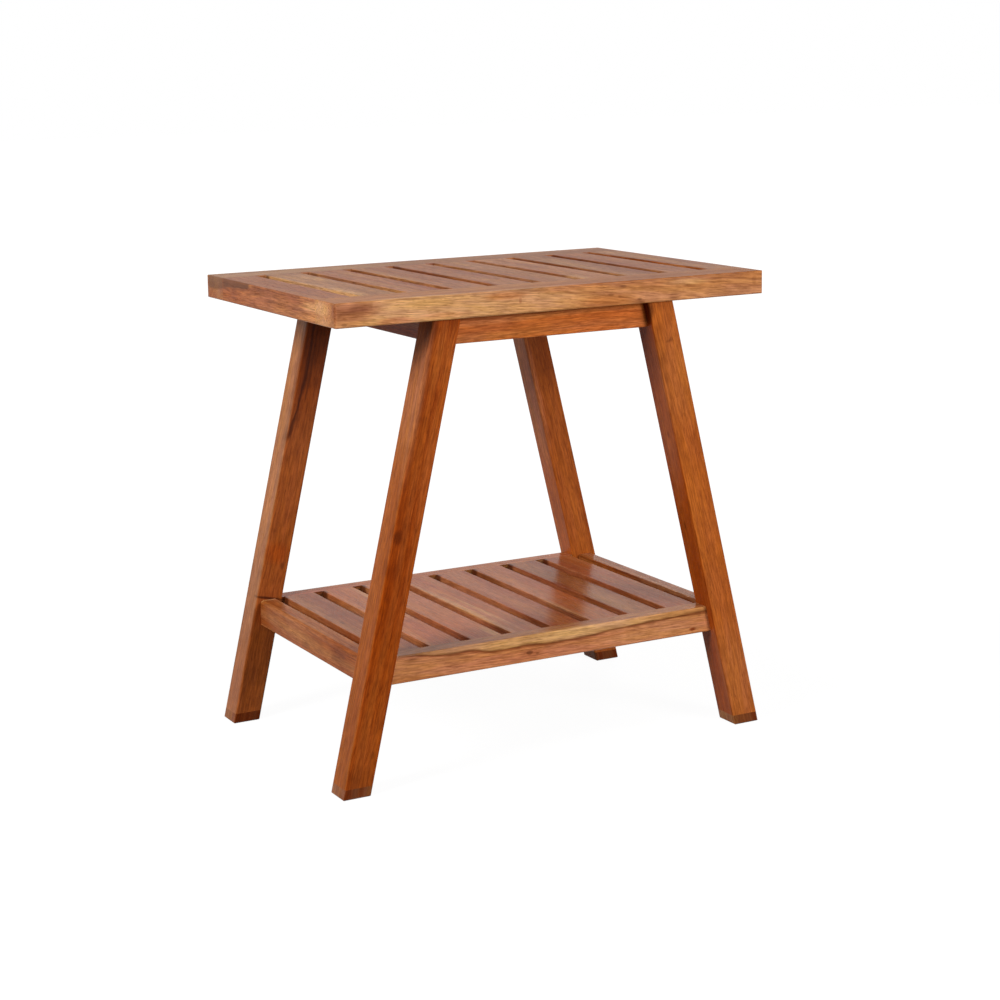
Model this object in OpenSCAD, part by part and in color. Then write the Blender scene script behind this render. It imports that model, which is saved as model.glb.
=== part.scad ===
// Slatted wooden bath bench with splayed legs and a slatted lower shelf.
// X runs along the bench, Y from front to back, Z up from the floor.

/* [Overall] */
// Length of the seat from end to end
bench_length = 457; // [430:1:500]
// Depth of the seat from front to back
bench_depth = 305; // [285:1:340]
// Height of the seat's top face above the floor
bench_height = 457; // [430:1:500]

/* [Seat] */
// Thickness of the seat's rails and end boards
seat_thickness = 22.5; // [20:0.5:28]
// Width of the front and back rails of the seat
seat_rail_width = 42; // [36:0.5:50]
// Width of the boards at the two ends of the seat
seat_end_width = 35.5; // [32:0.5:40]
// Number of slats in the seat
seat_slats = 8; // [6:1:9]
// Gap beside each slat of the seat
seat_gap = 10; // [6:0.5:12]
// Thickness of the seat slats, flush with the rails on top
seat_slat_thickness = 15; // [12:0.5:18]

/* [Legs] */
// Side of the square leg stock
leg_size = 28; // [24:0.5:30]
// Lean of the legs from upright towards the ends, in degrees
leg_splay = 13.3; // [9:0.1:15]
// Distance that the seat reaches past the legs at its underside
leg_overhang = 100; // [90:1:110]
// Distance from the long edges of the seat in to the legs
leg_setback = 6; // [4:0.5:11]
// Height of the foot pads
pad_height = 10; // [7:0.5:14]

/* [Aprons] */
// Height of the four aprons under the seat
apron_height = 25; // [23:0.5:36]
// Thickness of the aprons
apron_thickness = 16; // [14:0.5:18]
// Distance of the long aprons in from the outer faces of the legs
apron_setback = 9; // [5:0.5:10]

/* [Shelf] */
// Height of the shelf's top face above the floor
shelf_height = 125; // [90:1:180]
// Height of the shelf rails and stretchers
shelf_rail_height = 26; // [24:0.5:32]
// Thickness of the front and back shelf rails
shelf_rail_thickness = 17; // [15:0.5:18]
// Distance of the shelf rails in from the outer faces of the legs
shelf_rail_setback = 9; // [5:0.5:9]
// Thickness of the stretchers at the two ends of the shelf
stretcher_thickness = 17; // [14:0.5:18]
// Distance of the stretchers in from the legs at the shelf's top
stretcher_setback = 4.5; // [3:0.5:6]
// Number of slats in the shelf
shelf_slats = 8; // [6:1:9]
// Gap beside each slat of the shelf
shelf_gap = 10; // [6:0.5:12]
// Thickness of the shelf slats, flush with the rails on top
shelf_slat_thickness = 13; // [11:0.5:16]

/* [Joints] */
// Clearance on each side of tenons, dowels and screws
fit = 0.15; // [0.1:0.05:0.25]
// Clearance at the blind end of mortises and bores
end_room = 0.6; // [0.4:0.1:1]
// Length of the tenons on the slats
slat_tenon_length = 8; // [6:0.5:10]
// Thickness of the tenons on the slats
slat_tenon_thickness = 6; // [5:0.5:7]
// Width of the shoulder on each side of a slat's tenon
slat_shoulder = 4; // [3:0.5:6]
// Length of the tenons on aprons, shelf rails and stretchers
frame_tenon_length = 12; // [9:0.5:13]
// Thickness of those tenons
frame_tenon_thickness = 7; // [6:0.5:8]
// Height of those tenons, which pass over and under each other in a leg
frame_tenon_height = 8; // [6:0.5:8.5]
// Height of the shoulder above an upper tenon and below a lower one
frame_shoulder = 2.5; // [2:0.5:3]
// Diameter of the dowels in the corners of the seat
dowel_diameter = 8; // [6:0.5:9]
// Length of the dowels
dowel_length = 36; // [28:1:44]
// Distance between the two dowels of a corner
dowel_spacing = 17; // [14:0.5:18]
// Diameter of the spigot on top of each foot pad
spigot_diameter = 8; // [6:0.5:10]
// Length of the spigot
spigot_length = 14; // [10:1:20]

/* [Screws] */
// Diameter of the seat screws
screw_diameter = 4; // [3.5:0.5:5]
// Length of a screw's bite into the seat rail
screw_bite = 14; // [10:1:16]
// Diameter of the screw heads
screw_head = 8; // [7:0.5:8.5]
// Height of the screw heads
screw_head_height = 2.6; // [2:0.1:3.2]
// Diameter of the counterbores in the aprons
counterbore = 10; // [9.5:0.5:11]
// Depth of the counterbores
counterbore_depth = 10; // [8:0.5:12]
// Distance between neighbouring screws along an apron
screw_spacing = 66; // [50:1:74]

/* [Edges] */
// Rounding of the seat's outer edges
seat_edge = 1.6; // [1:0.1:2.5]
// Rounding of the seat's four upright corners
seat_corner = 2.4; // [1.5:0.1:4]
// Rounding of the slats' long edges
slat_edge = 0.9; // [0.5:0.1:1.5]
// Rounding of the leg edges
leg_edge = 2.2; // [1:0.1:3]
// Rounding of the rails' and aprons' long edges
rail_edge = 1.4; // [0.8:0.1:2]
// Rounding of the upper outer edge of the stretchers
stretcher_edge = 3.5; // [1.5:0.1:5]
// Chamfer round the bottom of the foot pads
pad_chamfer = 1.2; // [0.6:0.1:2]

/* [Hidden] */
$fn = 32;
seat_bottom = bench_height - seat_thickness;
half_length = bench_length / 2;
half_depth = bench_depth / 2;

// Places of the legs: outer and inner faces across the depth, then along the length
leg_y_out = half_depth - leg_setback;
leg_y_in = leg_y_out - leg_size;
leg_y_mid = leg_y_out - leg_size / 2;
leg_width = leg_size / cos(leg_splay);
function leg_out(z) = half_length - leg_overhang + tan(leg_splay) * (seat_bottom - z);
function leg_in(z) = leg_out(z) - leg_width;
function leg_mid(z) = leg_out(z) - leg_width / 2;

// Seat: inner edge of the rails, width and place of the slats
seat_inner_y = half_depth - seat_rail_width;
seat_inner_x = half_length - seat_end_width;
seat_slat_width = (2 * seat_inner_x - (seat_slats + 1) * seat_gap) / seat_slats;
function seat_slat_x(i) = -seat_inner_x + seat_gap + (i - 1) * (seat_slat_width + seat_gap);

// Shelf: places of its rails, stretchers and slats
shelf_bottom = shelf_height - shelf_rail_height;
shelf_y_out = leg_y_out - shelf_rail_setback;
shelf_y_in = shelf_y_out - shelf_rail_thickness;
stretcher_x_out = leg_out(shelf_height) - stretcher_setback;
stretcher_x_in = stretcher_x_out - stretcher_thickness;
shelf_slat_width = (2 * stretcher_x_in - (shelf_slats + 1) * shelf_gap) / shelf_slats;
function shelf_slat_x(i) = -stretcher_x_in + shelf_gap + (i - 1) * (shelf_slat_width + shelf_gap);

// Aprons: heights and faces
apron_bottom = seat_bottom - apron_height;
apron_y_out = leg_y_out - apron_setback;
apron_y_in = apron_y_out - apron_thickness;
apron_y_mid = apron_y_out - apron_thickness / 2;
end_apron_x_in = leg_in(seat_bottom);
end_apron_x_out = end_apron_x_in + apron_thickness;

// Places of the screws along a long apron
screw_places = [-screw_spacing, 0, screw_spacing];
screw_shoulder = apron_bottom + counterbore_depth;

// Colours of the woods, pads and screws
golden_wood = "#C9935A";
red_wood = "#A75B36";
brown_wood = "#A5745A";
tan_wood = "#AC7254";
orange_wood = "#B2653A";
pale_wood = "#D8B78A";
dark_foot = "#5E2F20";
steel = "#9A9A98";

// Distance that cutting shapes run past the faces they cut
past = 1;

// Waste outside a rounded corner at the origin
module corner_waste(r) {
    difference() {
        translate([-past, -past]) square(r + past);
        translate([r, r]) circle(r);
    }
}

// Rectangle from the origin with its own rounding at each corner:
// lower left, lower right, upper right, upper left
module eased_rect(w, h, r) {
    difference() {
        square([w, h]);
        if (r[0] > 0) corner_waste(r[0]);
        if (r[1] > 0) translate([w, 0]) rotate(90) corner_waste(r[1]);
        if (r[2] > 0) translate([w, h]) rotate(180) corner_waste(r[2]);
        if (r[3] > 0) translate([0, h]) rotate(270) corner_waste(r[3]);
    }
}

// Bars with an eased section, from the low corner along X, along Y or upright
module bar_x(low, size, r) {
    translate(low) rotate([90, 0, 90]) linear_extrude(size[0]) eased_rect(size[1], size[2], r);
}

module bar_y(low, size, r) {
    translate(low + [0, size[1], 0]) rotate([90, 0, 0]) linear_extrude(size[1]) eased_rect(size[0], size[2], r);
}

module bar_z(low, size, r) {
    translate(low) linear_extrude(size[2]) eased_rect(size[0], size[1], r);
}

// Box between two corners, grown by a clearance on every side
module block(low, high, grow = 0) {
    translate(low - [grow, grow, grow]) cube(high - low + 2 * [grow, grow, grow]);
}

// Copies of the front right corner's shape at the side wanted
module at_corner(side, face) {
    mirror([side < 0 ? 1 : 0, 0, 0]) mirror([0, face > 0 ? 1 : 0, 0]) children();
}

// Tongues at both ends of a slat that spans between two rails
module slat_tongues(x, width, top, thickness, half_span, grow = 0, extra = 0) {
    middle = top - thickness / 2;
    reach = half_span + slat_tenon_length + extra;
    block(
        [x + slat_shoulder, -reach, middle - slat_tenon_thickness / 2],
        [x + width - slat_shoulder, reach, middle + slat_tenon_thickness / 2],
        grow
    );
}

// Slat along Y with a tongue at each end
module slat(x, width, top, thickness, half_span) {
    bar_y(
        [x, -half_span, top - thickness],
        [width, 2 * half_span, thickness],
        [slat_edge, slat_edge, slat_edge, slat_edge]
    );
    slat_tongues(x, width, top, thickness, half_span);
}

module seat_slat(i) {
    color(i % 2 == 0 ? tan_wood : brown_wood)
        slat(seat_slat_x(i), seat_slat_width, bench_height, seat_slat_thickness, seat_inner_y);
}

module shelf_slat(i) {
    color(i % 2 == 0 ? tan_wood : brown_wood)
        slat(shelf_slat_x(i), shelf_slat_width, shelf_height, shelf_slat_thickness, shelf_y_in);
}

// Mortises that the tongues of all the slats seat in
module seat_slat_mortises() {
    for (i = [1:seat_slats]) {
        slat_tongues(
            seat_slat_x(i), seat_slat_width, bench_height, seat_slat_thickness, seat_inner_y, fit, end_room
        );
    }
}

module shelf_slat_mortises() {
    for (i = [1:shelf_slats]) {
        slat_tongues(
            shelf_slat_x(i), shelf_slat_width, shelf_height, shelf_slat_thickness, shelf_y_in, fit, end_room
        );
    }
}

// Cylinder along Y across the joint of a seat rail and an end board
module dowel(x, diameter, length) {
    translate([x, -seat_inner_y, bench_height - seat_thickness / 2])
        rotate([90, 0, 0]) cylinder(d = diameter, h = length, center = true);
}

// The dowels of all four corners of the seat
module all_dowels(diameter, length) {
    for (side = [-1, 1], face = [-1, 1], off = [-0.5, 0.5]) {
        at_corner(side, face)
            dowel(half_length - seat_end_width / 2 + off * dowel_spacing, diameter, length);
    }
}

module seat_dowels() {
    color(pale_wood) all_dowels(dowel_diameter, dowel_length);
}

module dowel_bores() {
    all_dowels(dowel_diameter + 2 * fit, dowel_length + 2 * end_room);
}

// Screw from under an apron into the seat rail above it: head with an eased rim, shank and point
module screw() {
    head_bottom = screw_shoulder - screw_head_height;
    head_rim = screw_head_height / 2;
    tip = seat_bottom + screw_bite;
    rotate_extrude()
        polygon([
            [0, head_bottom],
            [screw_head / 2 - head_rim, head_bottom],
            [screw_head / 2, head_bottom + head_rim],
            [screw_head / 2, screw_shoulder],
            [screw_diameter / 2, screw_shoulder],
            [screw_diameter / 2, tip - screw_diameter],
            [0, tip]
        ]);
}

// The three screws of each long apron, or what is cut for them
module at_screws() {
    for (face = [-1, 1], x = screw_places) translate([x, face * apron_y_mid, 0]) children();
}

module seat_screws() {
    color(steel) at_screws() screw();
}

// Bores for the screws: counterbore and clearance in the aprons, pilot in the seat rails
module screw_bores() {
    at_screws() {
        translate([0, 0, apron_bottom - past]) cylinder(d = counterbore, h = counterbore_depth + past);
        translate([0, 0, apron_bottom])
            cylinder(d = screw_diameter + 2 * fit, h = apron_height + screw_bite + end_room);
    }
}

// Long rail of the seat at the front, with its outer edges and corners eased
module seat_rail_blank() {
    low = [-half_length, -half_depth, seat_bottom];
    size = [bench_length, seat_rail_width, seat_thickness];
    intersection() {
        bar_x(low, size, [seat_edge, 0, 0, seat_edge]);
        bar_y(low, size, [seat_edge, seat_edge, seat_edge, seat_edge]);
        bar_z(low, size, [seat_corner, seat_corner, 0, 0]);
    }
}

module seat_rail(face) {
    difference() {
        at_corner(1, face) seat_rail_blank();
        seat_slat_mortises();
        dowel_bores();
        screw_bores();
    }
}

module seat_front_rail() { color(golden_wood) seat_rail(-1); }

module seat_back_rail() { color(brown_wood) seat_rail(1); }

// End board of the seat, between the long rails
module seat_end(side) {
    difference() {
        at_corner(side, -1)
            bar_y(
                [seat_inner_x, -seat_inner_y, seat_bottom],
                [seat_end_width, 2 * seat_inner_y, seat_thickness],
                [slat_edge, seat_edge, seat_edge, slat_edge]
            );
        dowel_bores();
    }
}

module seat_end_left() { color(red_wood) seat_end(-1); }

module seat_end_right() { color(brown_wood) seat_end(1); }

// Leaning square stock of the front right leg, cut level at two heights
module leg_stock(low, high) {
    run = (high - low) / cos(leg_splay) + 2 * leg_size;
    reach = leg_out(low) + leg_size;
    intersection() {
        translate([leg_mid(high), -leg_y_mid, high])
            rotate([0, -leg_splay, 0])
                translate([-leg_size / 2, -leg_size / 2, leg_size - run])
                    linear_extrude(run)
                        eased_rect(leg_size, leg_size, [leg_edge, leg_edge, leg_edge, leg_edge]);
        block([0, -leg_y_out - leg_size, low], [reach, 0, high]);
    }
}

// Spigot of a foot pad, along the leaning leg
module spigot(grow = 0, extra = 0) {
    root = pad_height / 2;
    translate([leg_mid(pad_height), -leg_y_mid, pad_height])
        rotate([0, -leg_splay, 0])
            translate([0, 0, -root]) cylinder(d = spigot_diameter + 2 * grow, h = root + spigot_length + extra);
}

// Tenons that enter the front right leg, each as a box from inside its member to its tip.
// Those along X pass under those along Y.
module long_tenon(bottom, y_mid, grow = 0, extra = 0) {
    low = bottom + frame_shoulder;
    high = low + frame_tenon_height;
    tip = leg_in((low + high) / 2) + frame_tenon_length + extra;
    block(
        [leg_in(high) - frame_tenon_length, -y_mid - frame_tenon_thickness / 2, low],
        [tip, -y_mid + frame_tenon_thickness / 2, high],
        grow
    );
}

module cross_tenon(top, x_mid, grow = 0, extra = 0) {
    high = top - frame_shoulder;
    block(
        [x_mid - frame_tenon_thickness / 2, -leg_y_in - frame_tenon_length - extra, high - frame_tenon_height],
        [x_mid + frame_tenon_thickness / 2, -leg_y_in + frame_tenon_length, high],
        grow
    );
}

module apron_long_tenon(grow = 0, extra = 0) {
    long_tenon(apron_bottom, apron_y_mid, grow, extra);
}

module apron_cross_tenon(grow = 0, extra = 0) {
    cross_tenon(seat_bottom, (end_apron_x_in + end_apron_x_out) / 2, grow, extra);
}

module shelf_long_tenon(grow = 0, extra = 0) {
    long_tenon(shelf_bottom, (shelf_y_in + shelf_y_out) / 2, grow, extra);
}

module shelf_cross_tenon(grow = 0, extra = 0) {
    cross_tenon(shelf_height, (stretcher_x_in + stretcher_x_out) / 2, grow, extra);
}

// Leg with its four mortises and the bore for its foot pad
module leg(side, face) {
    at_corner(side, face)
        difference() {
            leg_stock(pad_height, seat_bottom);
            apron_long_tenon(fit, end_room);
            apron_cross_tenon(fit, end_room);
            shelf_long_tenon(fit, end_room);
            shelf_cross_tenon(fit, end_room);
            spigot(fit, end_room);
        }
}

module leg_front_left() { color(red_wood) leg(-1, -1); }

module leg_front_right() { color(orange_wood) leg(1, -1); }

module leg_back_left() { color(red_wood) leg(-1, 1); }

module leg_back_right() { color(orange_wood) leg(1, 1); }

// Foot pad that carries on the leg's section, chamfered round its bottom
module foot_pad(side, face) {
    at_corner(side, face) {
        intersection() {
            leg_stock(0, pad_height);
            translate([0, -leg_y_in, 0])
                rotate([90, 0, 0])
                    linear_extrude(leg_size)
                        polygon([
                            [leg_in(0) + pad_chamfer, 0],
                            [leg_out(0) - pad_chamfer, 0],
                            [leg_out(pad_chamfer), pad_chamfer],
                            [leg_out(pad_height), pad_height],
                            [leg_in(pad_height), pad_height],
                            [leg_in(pad_chamfer), pad_chamfer]
                        ]);
            translate([0, -leg_y_out, 0])
                rotate([90, 0, 90])
                    linear_extrude(leg_out(0) + leg_size)
                        polygon([
                            [pad_chamfer, 0],
                            [leg_size - pad_chamfer, 0],
                            [leg_size, pad_chamfer],
                            [leg_size, pad_height],
                            [0, pad_height],
                            [0, pad_chamfer]
                        ]);
        }
        spigot();
    }
}

module foot_pad_front_left() { color(dark_foot) foot_pad(-1, -1); }

module foot_pad_front_right() { color(dark_foot) foot_pad(1, -1); }

module foot_pad_back_left() { color(dark_foot) foot_pad(-1, 1); }

module foot_pad_back_right() { color(dark_foot) foot_pad(1, 1); }

// Long member between two leaning legs at the front: its ends are cut to their slope
module splayed_bar(bottom, top, y_out, y_in, r) {
    intersection() {
        translate([0, -y_in, 0])
            rotate([90, 0, 0])
                linear_extrude(y_out - y_in)
                    polygon([
                        [-leg_in(bottom), bottom],
                        [leg_in(bottom), bottom],
                        [leg_in(top), top],
                        [-leg_in(top), top]
                    ]);
        bar_x(
            [-leg_in(bottom), -y_out, bottom],
            [2 * leg_in(bottom), y_out - y_in, top - bottom],
            r
        );
    }
}

module long_apron(face) {
    difference() {
        at_corner(1, face) {
            splayed_bar(apron_bottom, seat_bottom, apron_y_out, apron_y_in, [rail_edge, rail_edge, 0, 0]);
            for (side = [-1, 1]) at_corner(side, -1) apron_long_tenon();
        }
        screw_bores();
    }
}

module apron_front() { color(orange_wood) long_apron(-1); }

module apron_back() { color(red_wood) long_apron(1); }

module end_apron(side) {
    at_corner(side, -1) {
        bar_y(
            [end_apron_x_in, -leg_y_in, apron_bottom],
            [apron_thickness, 2 * leg_y_in, apron_height],
            [rail_edge, rail_edge, 0, 0]
        );
        for (face = [-1, 1]) at_corner(1, face) apron_cross_tenon();
    }
}

module apron_left() { color(red_wood) end_apron(-1); }

module apron_right() { color(red_wood) end_apron(1); }

module shelf_rail(face) {
    difference() {
        at_corner(1, face) {
            splayed_bar(
                shelf_bottom, shelf_height, shelf_y_out, shelf_y_in,
                [rail_edge, rail_edge, 0, rail_edge]
            );
            for (side = [-1, 1]) at_corner(side, -1) shelf_long_tenon();
        }
        shelf_slat_mortises();
    }
}

module shelf_front_rail() { color(golden_wood) shelf_rail(-1); }

module shelf_back_rail() { color(brown_wood) shelf_rail(1); }

// End member of the shelf between a front and a back leg, upright, with a softer upper outer edge
module stretcher(side) {
    at_corner(side, -1) {
        bar_y(
            [stretcher_x_in, -leg_y_in, shelf_bottom],
            [stretcher_thickness, 2 * leg_y_in, shelf_rail_height],
            [rail_edge, rail_edge, stretcher_edge, slat_edge]
        );
        for (face = [-1, 1]) at_corner(1, face) shelf_cross_tenon();
    }
}

module stretcher_left() { color(orange_wood) stretcher(-1); }

module stretcher_right() { color(brown_wood) stretcher(1); }

seat_front_rail();
seat_back_rail();
seat_end_left();
seat_end_right();
for (i = [1:seat_slats]) {
    seat_slat(i);
}
seat_dowels();
seat_screws();
leg_front_left();
leg_front_right();
leg_back_left();
leg_back_right();
foot_pad_front_left();
foot_pad_front_right();
foot_pad_back_left();
foot_pad_back_right();
apron_front();
apron_back();
apron_left();
apron_right();
shelf_front_rail();
shelf_back_rail();
stretcher_left();
stretcher_right();
for (i = [1:shelf_slats]) {
    shelf_slat(i);
}
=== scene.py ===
"""Bath bench with a slatted seat, splayed legs and a slatted shelf: its finish, hardware and studio.

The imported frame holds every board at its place. This add-on gives each board its own piece of
timber, models the dowels and screws that the frame only blocks out, and sets the studio.
"""
from collections import namedtuple
from functools import partial
from math import atan2, cos, pi, radians, sin, tan, tau

import bpy
from bpy.props import FloatProperty, FloatVectorProperty, IntProperty, PointerProperty
from mathutils import Matrix, Vector


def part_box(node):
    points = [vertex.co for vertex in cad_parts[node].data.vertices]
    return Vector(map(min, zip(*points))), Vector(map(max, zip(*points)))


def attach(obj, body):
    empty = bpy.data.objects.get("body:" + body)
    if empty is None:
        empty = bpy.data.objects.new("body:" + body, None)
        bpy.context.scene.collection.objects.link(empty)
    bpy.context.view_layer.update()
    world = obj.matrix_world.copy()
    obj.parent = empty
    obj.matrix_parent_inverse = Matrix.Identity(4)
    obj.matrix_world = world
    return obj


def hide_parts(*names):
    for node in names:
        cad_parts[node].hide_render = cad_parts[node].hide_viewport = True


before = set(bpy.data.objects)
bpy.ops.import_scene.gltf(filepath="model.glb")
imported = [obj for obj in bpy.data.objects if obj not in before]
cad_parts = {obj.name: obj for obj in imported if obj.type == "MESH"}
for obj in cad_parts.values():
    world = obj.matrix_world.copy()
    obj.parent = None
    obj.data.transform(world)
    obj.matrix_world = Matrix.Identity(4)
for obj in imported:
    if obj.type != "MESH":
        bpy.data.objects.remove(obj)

bl_info = {
    "name": "Bath Bench",
    "version": (1, 0, 0),
    "blender": (4, 5, 0),
    "location": "View3D > Sidebar > Bench",
    "description": "Finishes a slatted bath bench over its packed frame",
    "category": "Object",
}

BODY = "root"
MM = 0.001
WHITE = (1, 1, 1)


def srgb(red, green, blue):
    """Colour as it looks on screen, 0 to 255 a channel, as the linear values that Blender keeps."""
    def linear(channel):
        level = channel / 255
        return level / 12.92 if level <= 0.04045 else ((level + 0.055) / 1.055) ** 2.4
    return (linear(red), linear(green), linear(blue))


def colour_property(name, description, default):
    return FloatVectorProperty(
        name=name, description=description, default=default, subtype="COLOR", size=3, min=0, max=1
    )


def tint_property(name, description, default):
    return FloatVectorProperty(name=name, description=description, default=default, size=3)


def length_property(name, description, millimetres):
    return FloatProperty(name=name, description=description, default=millimetres * MM, unit="LENGTH")


def angle_property(name, description, degrees):
    return FloatProperty(name=name, description=description, default=radians(degrees), subtype="ANGLE")


def power_property(name, description, watts):
    return FloatProperty(name=name, description=description, default=watts, unit="POWER")


class BenchTimberSettings(bpy.types.PropertyGroup):
    """Colours and grain of the timber."""
    # Umber, brown and sapwood also paint light and shade: umber the painted shade under the seat, at the
    # gaps' far ends and at a stretcher's joint; brown and sapwood two painted highlights.
    red: colour_property("Red", "Heartwood of the reddest legs and aprons", srgb(150, 61, 6))
    copper: colour_property("Copper", "Heartwood of the shelf's tops and gap walls", srgb(177, 95, 56))
    russet: colour_property("Russet", "Brown red heartwood", srgb(155, 80, 32))
    orange: colour_property("Orange", "Heartwood of the lighter legs and front apron", srgb(178, 92, 34))
    amber: colour_property("Amber", "Yellow orange heartwood", srgb(188, 112, 52))
    brown: colour_property("Brown", "Heartwood of the seat's tops", srgb(167, 99, 63))
    coral: colour_property("Coral", "Pink orange heartwood of the shelf's front rail", srgb(200, 124, 81))
    salmon: colour_property("Salmon", "Pink brown wood beside the sapwood", srgb(188, 122, 76))
    sapwood: colour_property("Sapwood", "Wood from just under the bark", srgb(217, 165, 111))
    shade: colour_property("Dark streak", "Multiplies the wood in its dark streaks", (0.46, 0.34, 0.26))
    mineral: colour_property("Mineral stain", "Olive brown of the stains", srgb(94, 60, 40))
    beech: colour_property("Beech", "Wood of the dowels, and the palest sapwood", srgb(226, 190, 146))
    umber: colour_property("Umber", "Near black brown of knots and the darkest streaks", srgb(64, 22, 6))
    cool: tint_property("Cool tint", "Multiplies the wood in its mauve stretches", (0.99, 0.97, 1.1))
    warm: tint_property("Warm tint", "Multiplies the wood in its golden stretches", (1.03, 1.02, 0.84))
    ring_width: length_property("Ring width", "Mean distance between growth rings", 3.2)
    wander: length_property("Wander", "How far the rings stray along a board", 13)
    pore_depth: length_property("Pore depth", "Depth of the pores under the varnish", 0.05)


class BenchHardwareSettings(bpy.types.PropertyGroup):
    """Sizes and colours of the screws and the dowels."""
    zinc: colour_property("Zinc", "Bright plating of the screws", srgb(196, 196, 188))
    dull_zinc: colour_property("Dull zinc", "Plating where it has dulled", srgb(176, 175, 168))
    head_diameter: length_property("Head", "Diameter of the screw's head", 8)
    rim: length_property("Rim", "Rounding of the head's rim", 1.3)
    shank_diameter: length_property("Shank", "Diameter of the screw's plain shank", 4)
    core_diameter: length_property("Core", "Diameter of the screw between its threads", 2.8)
    thread_pitch: length_property("Pitch", "Rise of the thread in one turn", 2.2)
    thread_turns: IntProperty(name="Turns", description="Turns of the thread", default=9)
    recess_width: length_property("Recess", "Width of the cross recess over two of its arms", 4.4)
    dowel_diameter: length_property("Dowel", "Diameter of a dowel over its ribs", 8)
    dowel_length: length_property("Dowel length", "Length of a dowel", 36)
    dowel_chamfer: length_property("Dowel chamfer", "Chamfer of a dowel's ends", 1)
    dowel_flutes: IntProperty(name="Flutes", description="Number of flutes round a dowel", default=16)
    flute_depth: length_property("Flute depth", "Depth of a flute", 0.3)


class BenchStageSettings(bpy.types.PropertyGroup):
    """Studio, lamps and camera."""
    floor_size: FloatProperty(name="Floor", description="Side of the floor", default=30, unit="LENGTH")
    floor_white: FloatProperty(
        name="Floor white", description="How white the floor looks to the camera", default=1.08
    )
    camera_place: FloatVectorProperty(
        name="Camera place", description="Where the camera stands", default=(-0.99427, -1.83869, 0.67485),
        subtype="XYZ", unit="LENGTH",
    )
    camera_pan: angle_property("Pan", "Turn of the camera to the right of the back", 27.595)
    camera_tilt: angle_property("Tilt", "Dip of the camera below the horizon", 10.217)
    camera_roll: angle_property("Roll", "Roll of the camera about its own line of sight", -1.084)
    lens: FloatProperty(name="Lens", description="Focal length on a sensor 36 mm wide", default=76.701)
    lens_shift: FloatVectorProperty(
        name="Lens shift", description="How far the picture is cut from beside the lens's axis, in widths",
        default=(0.0459, -0.0681), size=2,
    )
    room_light: FloatProperty(
        name="Room light", description="Strength of the even light from all round", default=0.24
    )
    left_power: power_property("Left soft box", "Power of the soft box at the bench's left end", 54)
    front_power: power_property("Front soft box", "Power of the soft box before the bench", 37)
    back_power: power_property("Back soft box", "Power of the soft box behind the bench's right end", 22)


COLUMN_STEP, ROW_STEP = 220, 260
MIX_FACTOR, MIX_FIRST, MIX_SECOND, MIX_RESULT = 0, 6, 7, 2


class Graph:
    """Adds nodes to a shader tree and links them, each one column right of what feeds it."""

    def __init__(self, tree):
        self.tree = tree
        self.column = {}
        self.used = {}

    def place(self, node, feeds):
        column = 1 + max([self.column.get(socket.node.name, 0) for socket in feeds], default=0)
        row = self.used.get(column, 0)
        self.used[column] = row + 1
        self.column[node.name] = column
        node.location = (COLUMN_STEP * column, -ROW_STEP * row)

    def link(self, value, socket):
        self.tree.links.new(value, socket)

    def add(self, kind, inputs=None, **settings):
        """A node of this kind. An input that is a socket is linked, and any other value is set."""
        node = self.tree.nodes.new(kind)
        for key, value in settings.items():
            setattr(node, key, value)
        feeds = []
        for key, value in (inputs or {}).items():
            socket = node.inputs[key]
            if isinstance(value, bpy.types.NodeSocket):
                self.link(value, socket)
                feeds.append(value)
            elif socket.type == "RGBA":
                socket.default_value = (*value, 1)
            else:
                socket.default_value = value
        self.place(node, feeds)
        return node

    def math(self, operation, first, second=0.0, third=0.0, clamp=False):
        inputs = {0: first, 1: second, 2: third}
        return self.add("ShaderNodeMath", inputs, operation=operation, use_clamp=clamp).outputs[0]

    def times(self, first, second):
        return self.math("MULTIPLY", first, second)

    def vector(self, operation, first, second=(0, 0, 0)):
        node = self.add("ShaderNodeVectorMath", {0: first, 1: second}, operation=operation)
        return node.outputs["Value" if operation in {"LENGTH", "DOT_PRODUCT"} else "Vector"]

    def scaled(self, vector, factor):
        return self.add("ShaderNodeVectorMath", {0: vector, "Scale": factor}, operation="SCALE").outputs[0]

    def step(self, value, low, high, to_low=0.0, to_high=1.0):
        """Smooth step of a value from low to high."""
        inputs = {"Value": value, "From Min": low, "From Max": high, "To Min": to_low, "To Max": to_high}
        return self.add("ShaderNodeMapRange", inputs, interpolation_type="SMOOTHSTEP").outputs["Result"]

    def noise(self, vector, scale, detail, roughness, output="Fac"):
        inputs = {"Vector": vector, "Scale": scale, "Detail": detail, "Roughness": roughness}
        return self.add("ShaderNodeTexNoise", inputs).outputs[output]

    def grain(self, board, along, across, detail=2.0, roughness=0.5, output="Fac"):
        """Noise with so many turns a metre along the board's grain and across it."""
        stretched = self.vector("MULTIPLY", board, (along, across, across))
        return self.noise(stretched, 1.0, detail, roughness, output)

    def noise_along(self, value, scale, detail, roughness):
        """Noise of one number, such as a distance from the heart of the tree."""
        inputs = {"W": value, "Scale": scale, "Detail": detail, "Roughness": roughness}
        return self.add("ShaderNodeTexNoise", inputs, noise_dimensions="1D").outputs["Fac"]

    def mix(self, factor, first, second, blend="MIX"):
        inputs = {MIX_FACTOR: factor, MIX_FIRST: first, MIX_SECOND: second}
        node = self.add("ShaderNodeMix", inputs, data_type="RGBA", blend_type=blend)
        return node.outputs[MIX_RESULT]

    def shaded(self, colour, amount, shade):
        """The colour multiplied by this share of a shade."""
        return self.mix(1.0, colour, self.mix(amount, WHITE, shade), "MULTIPLY")

    def group(self, name, inputs):
        return self.add("ShaderNodeGroup", inputs, node_tree=bpy.data.node_groups[name]).outputs


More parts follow.
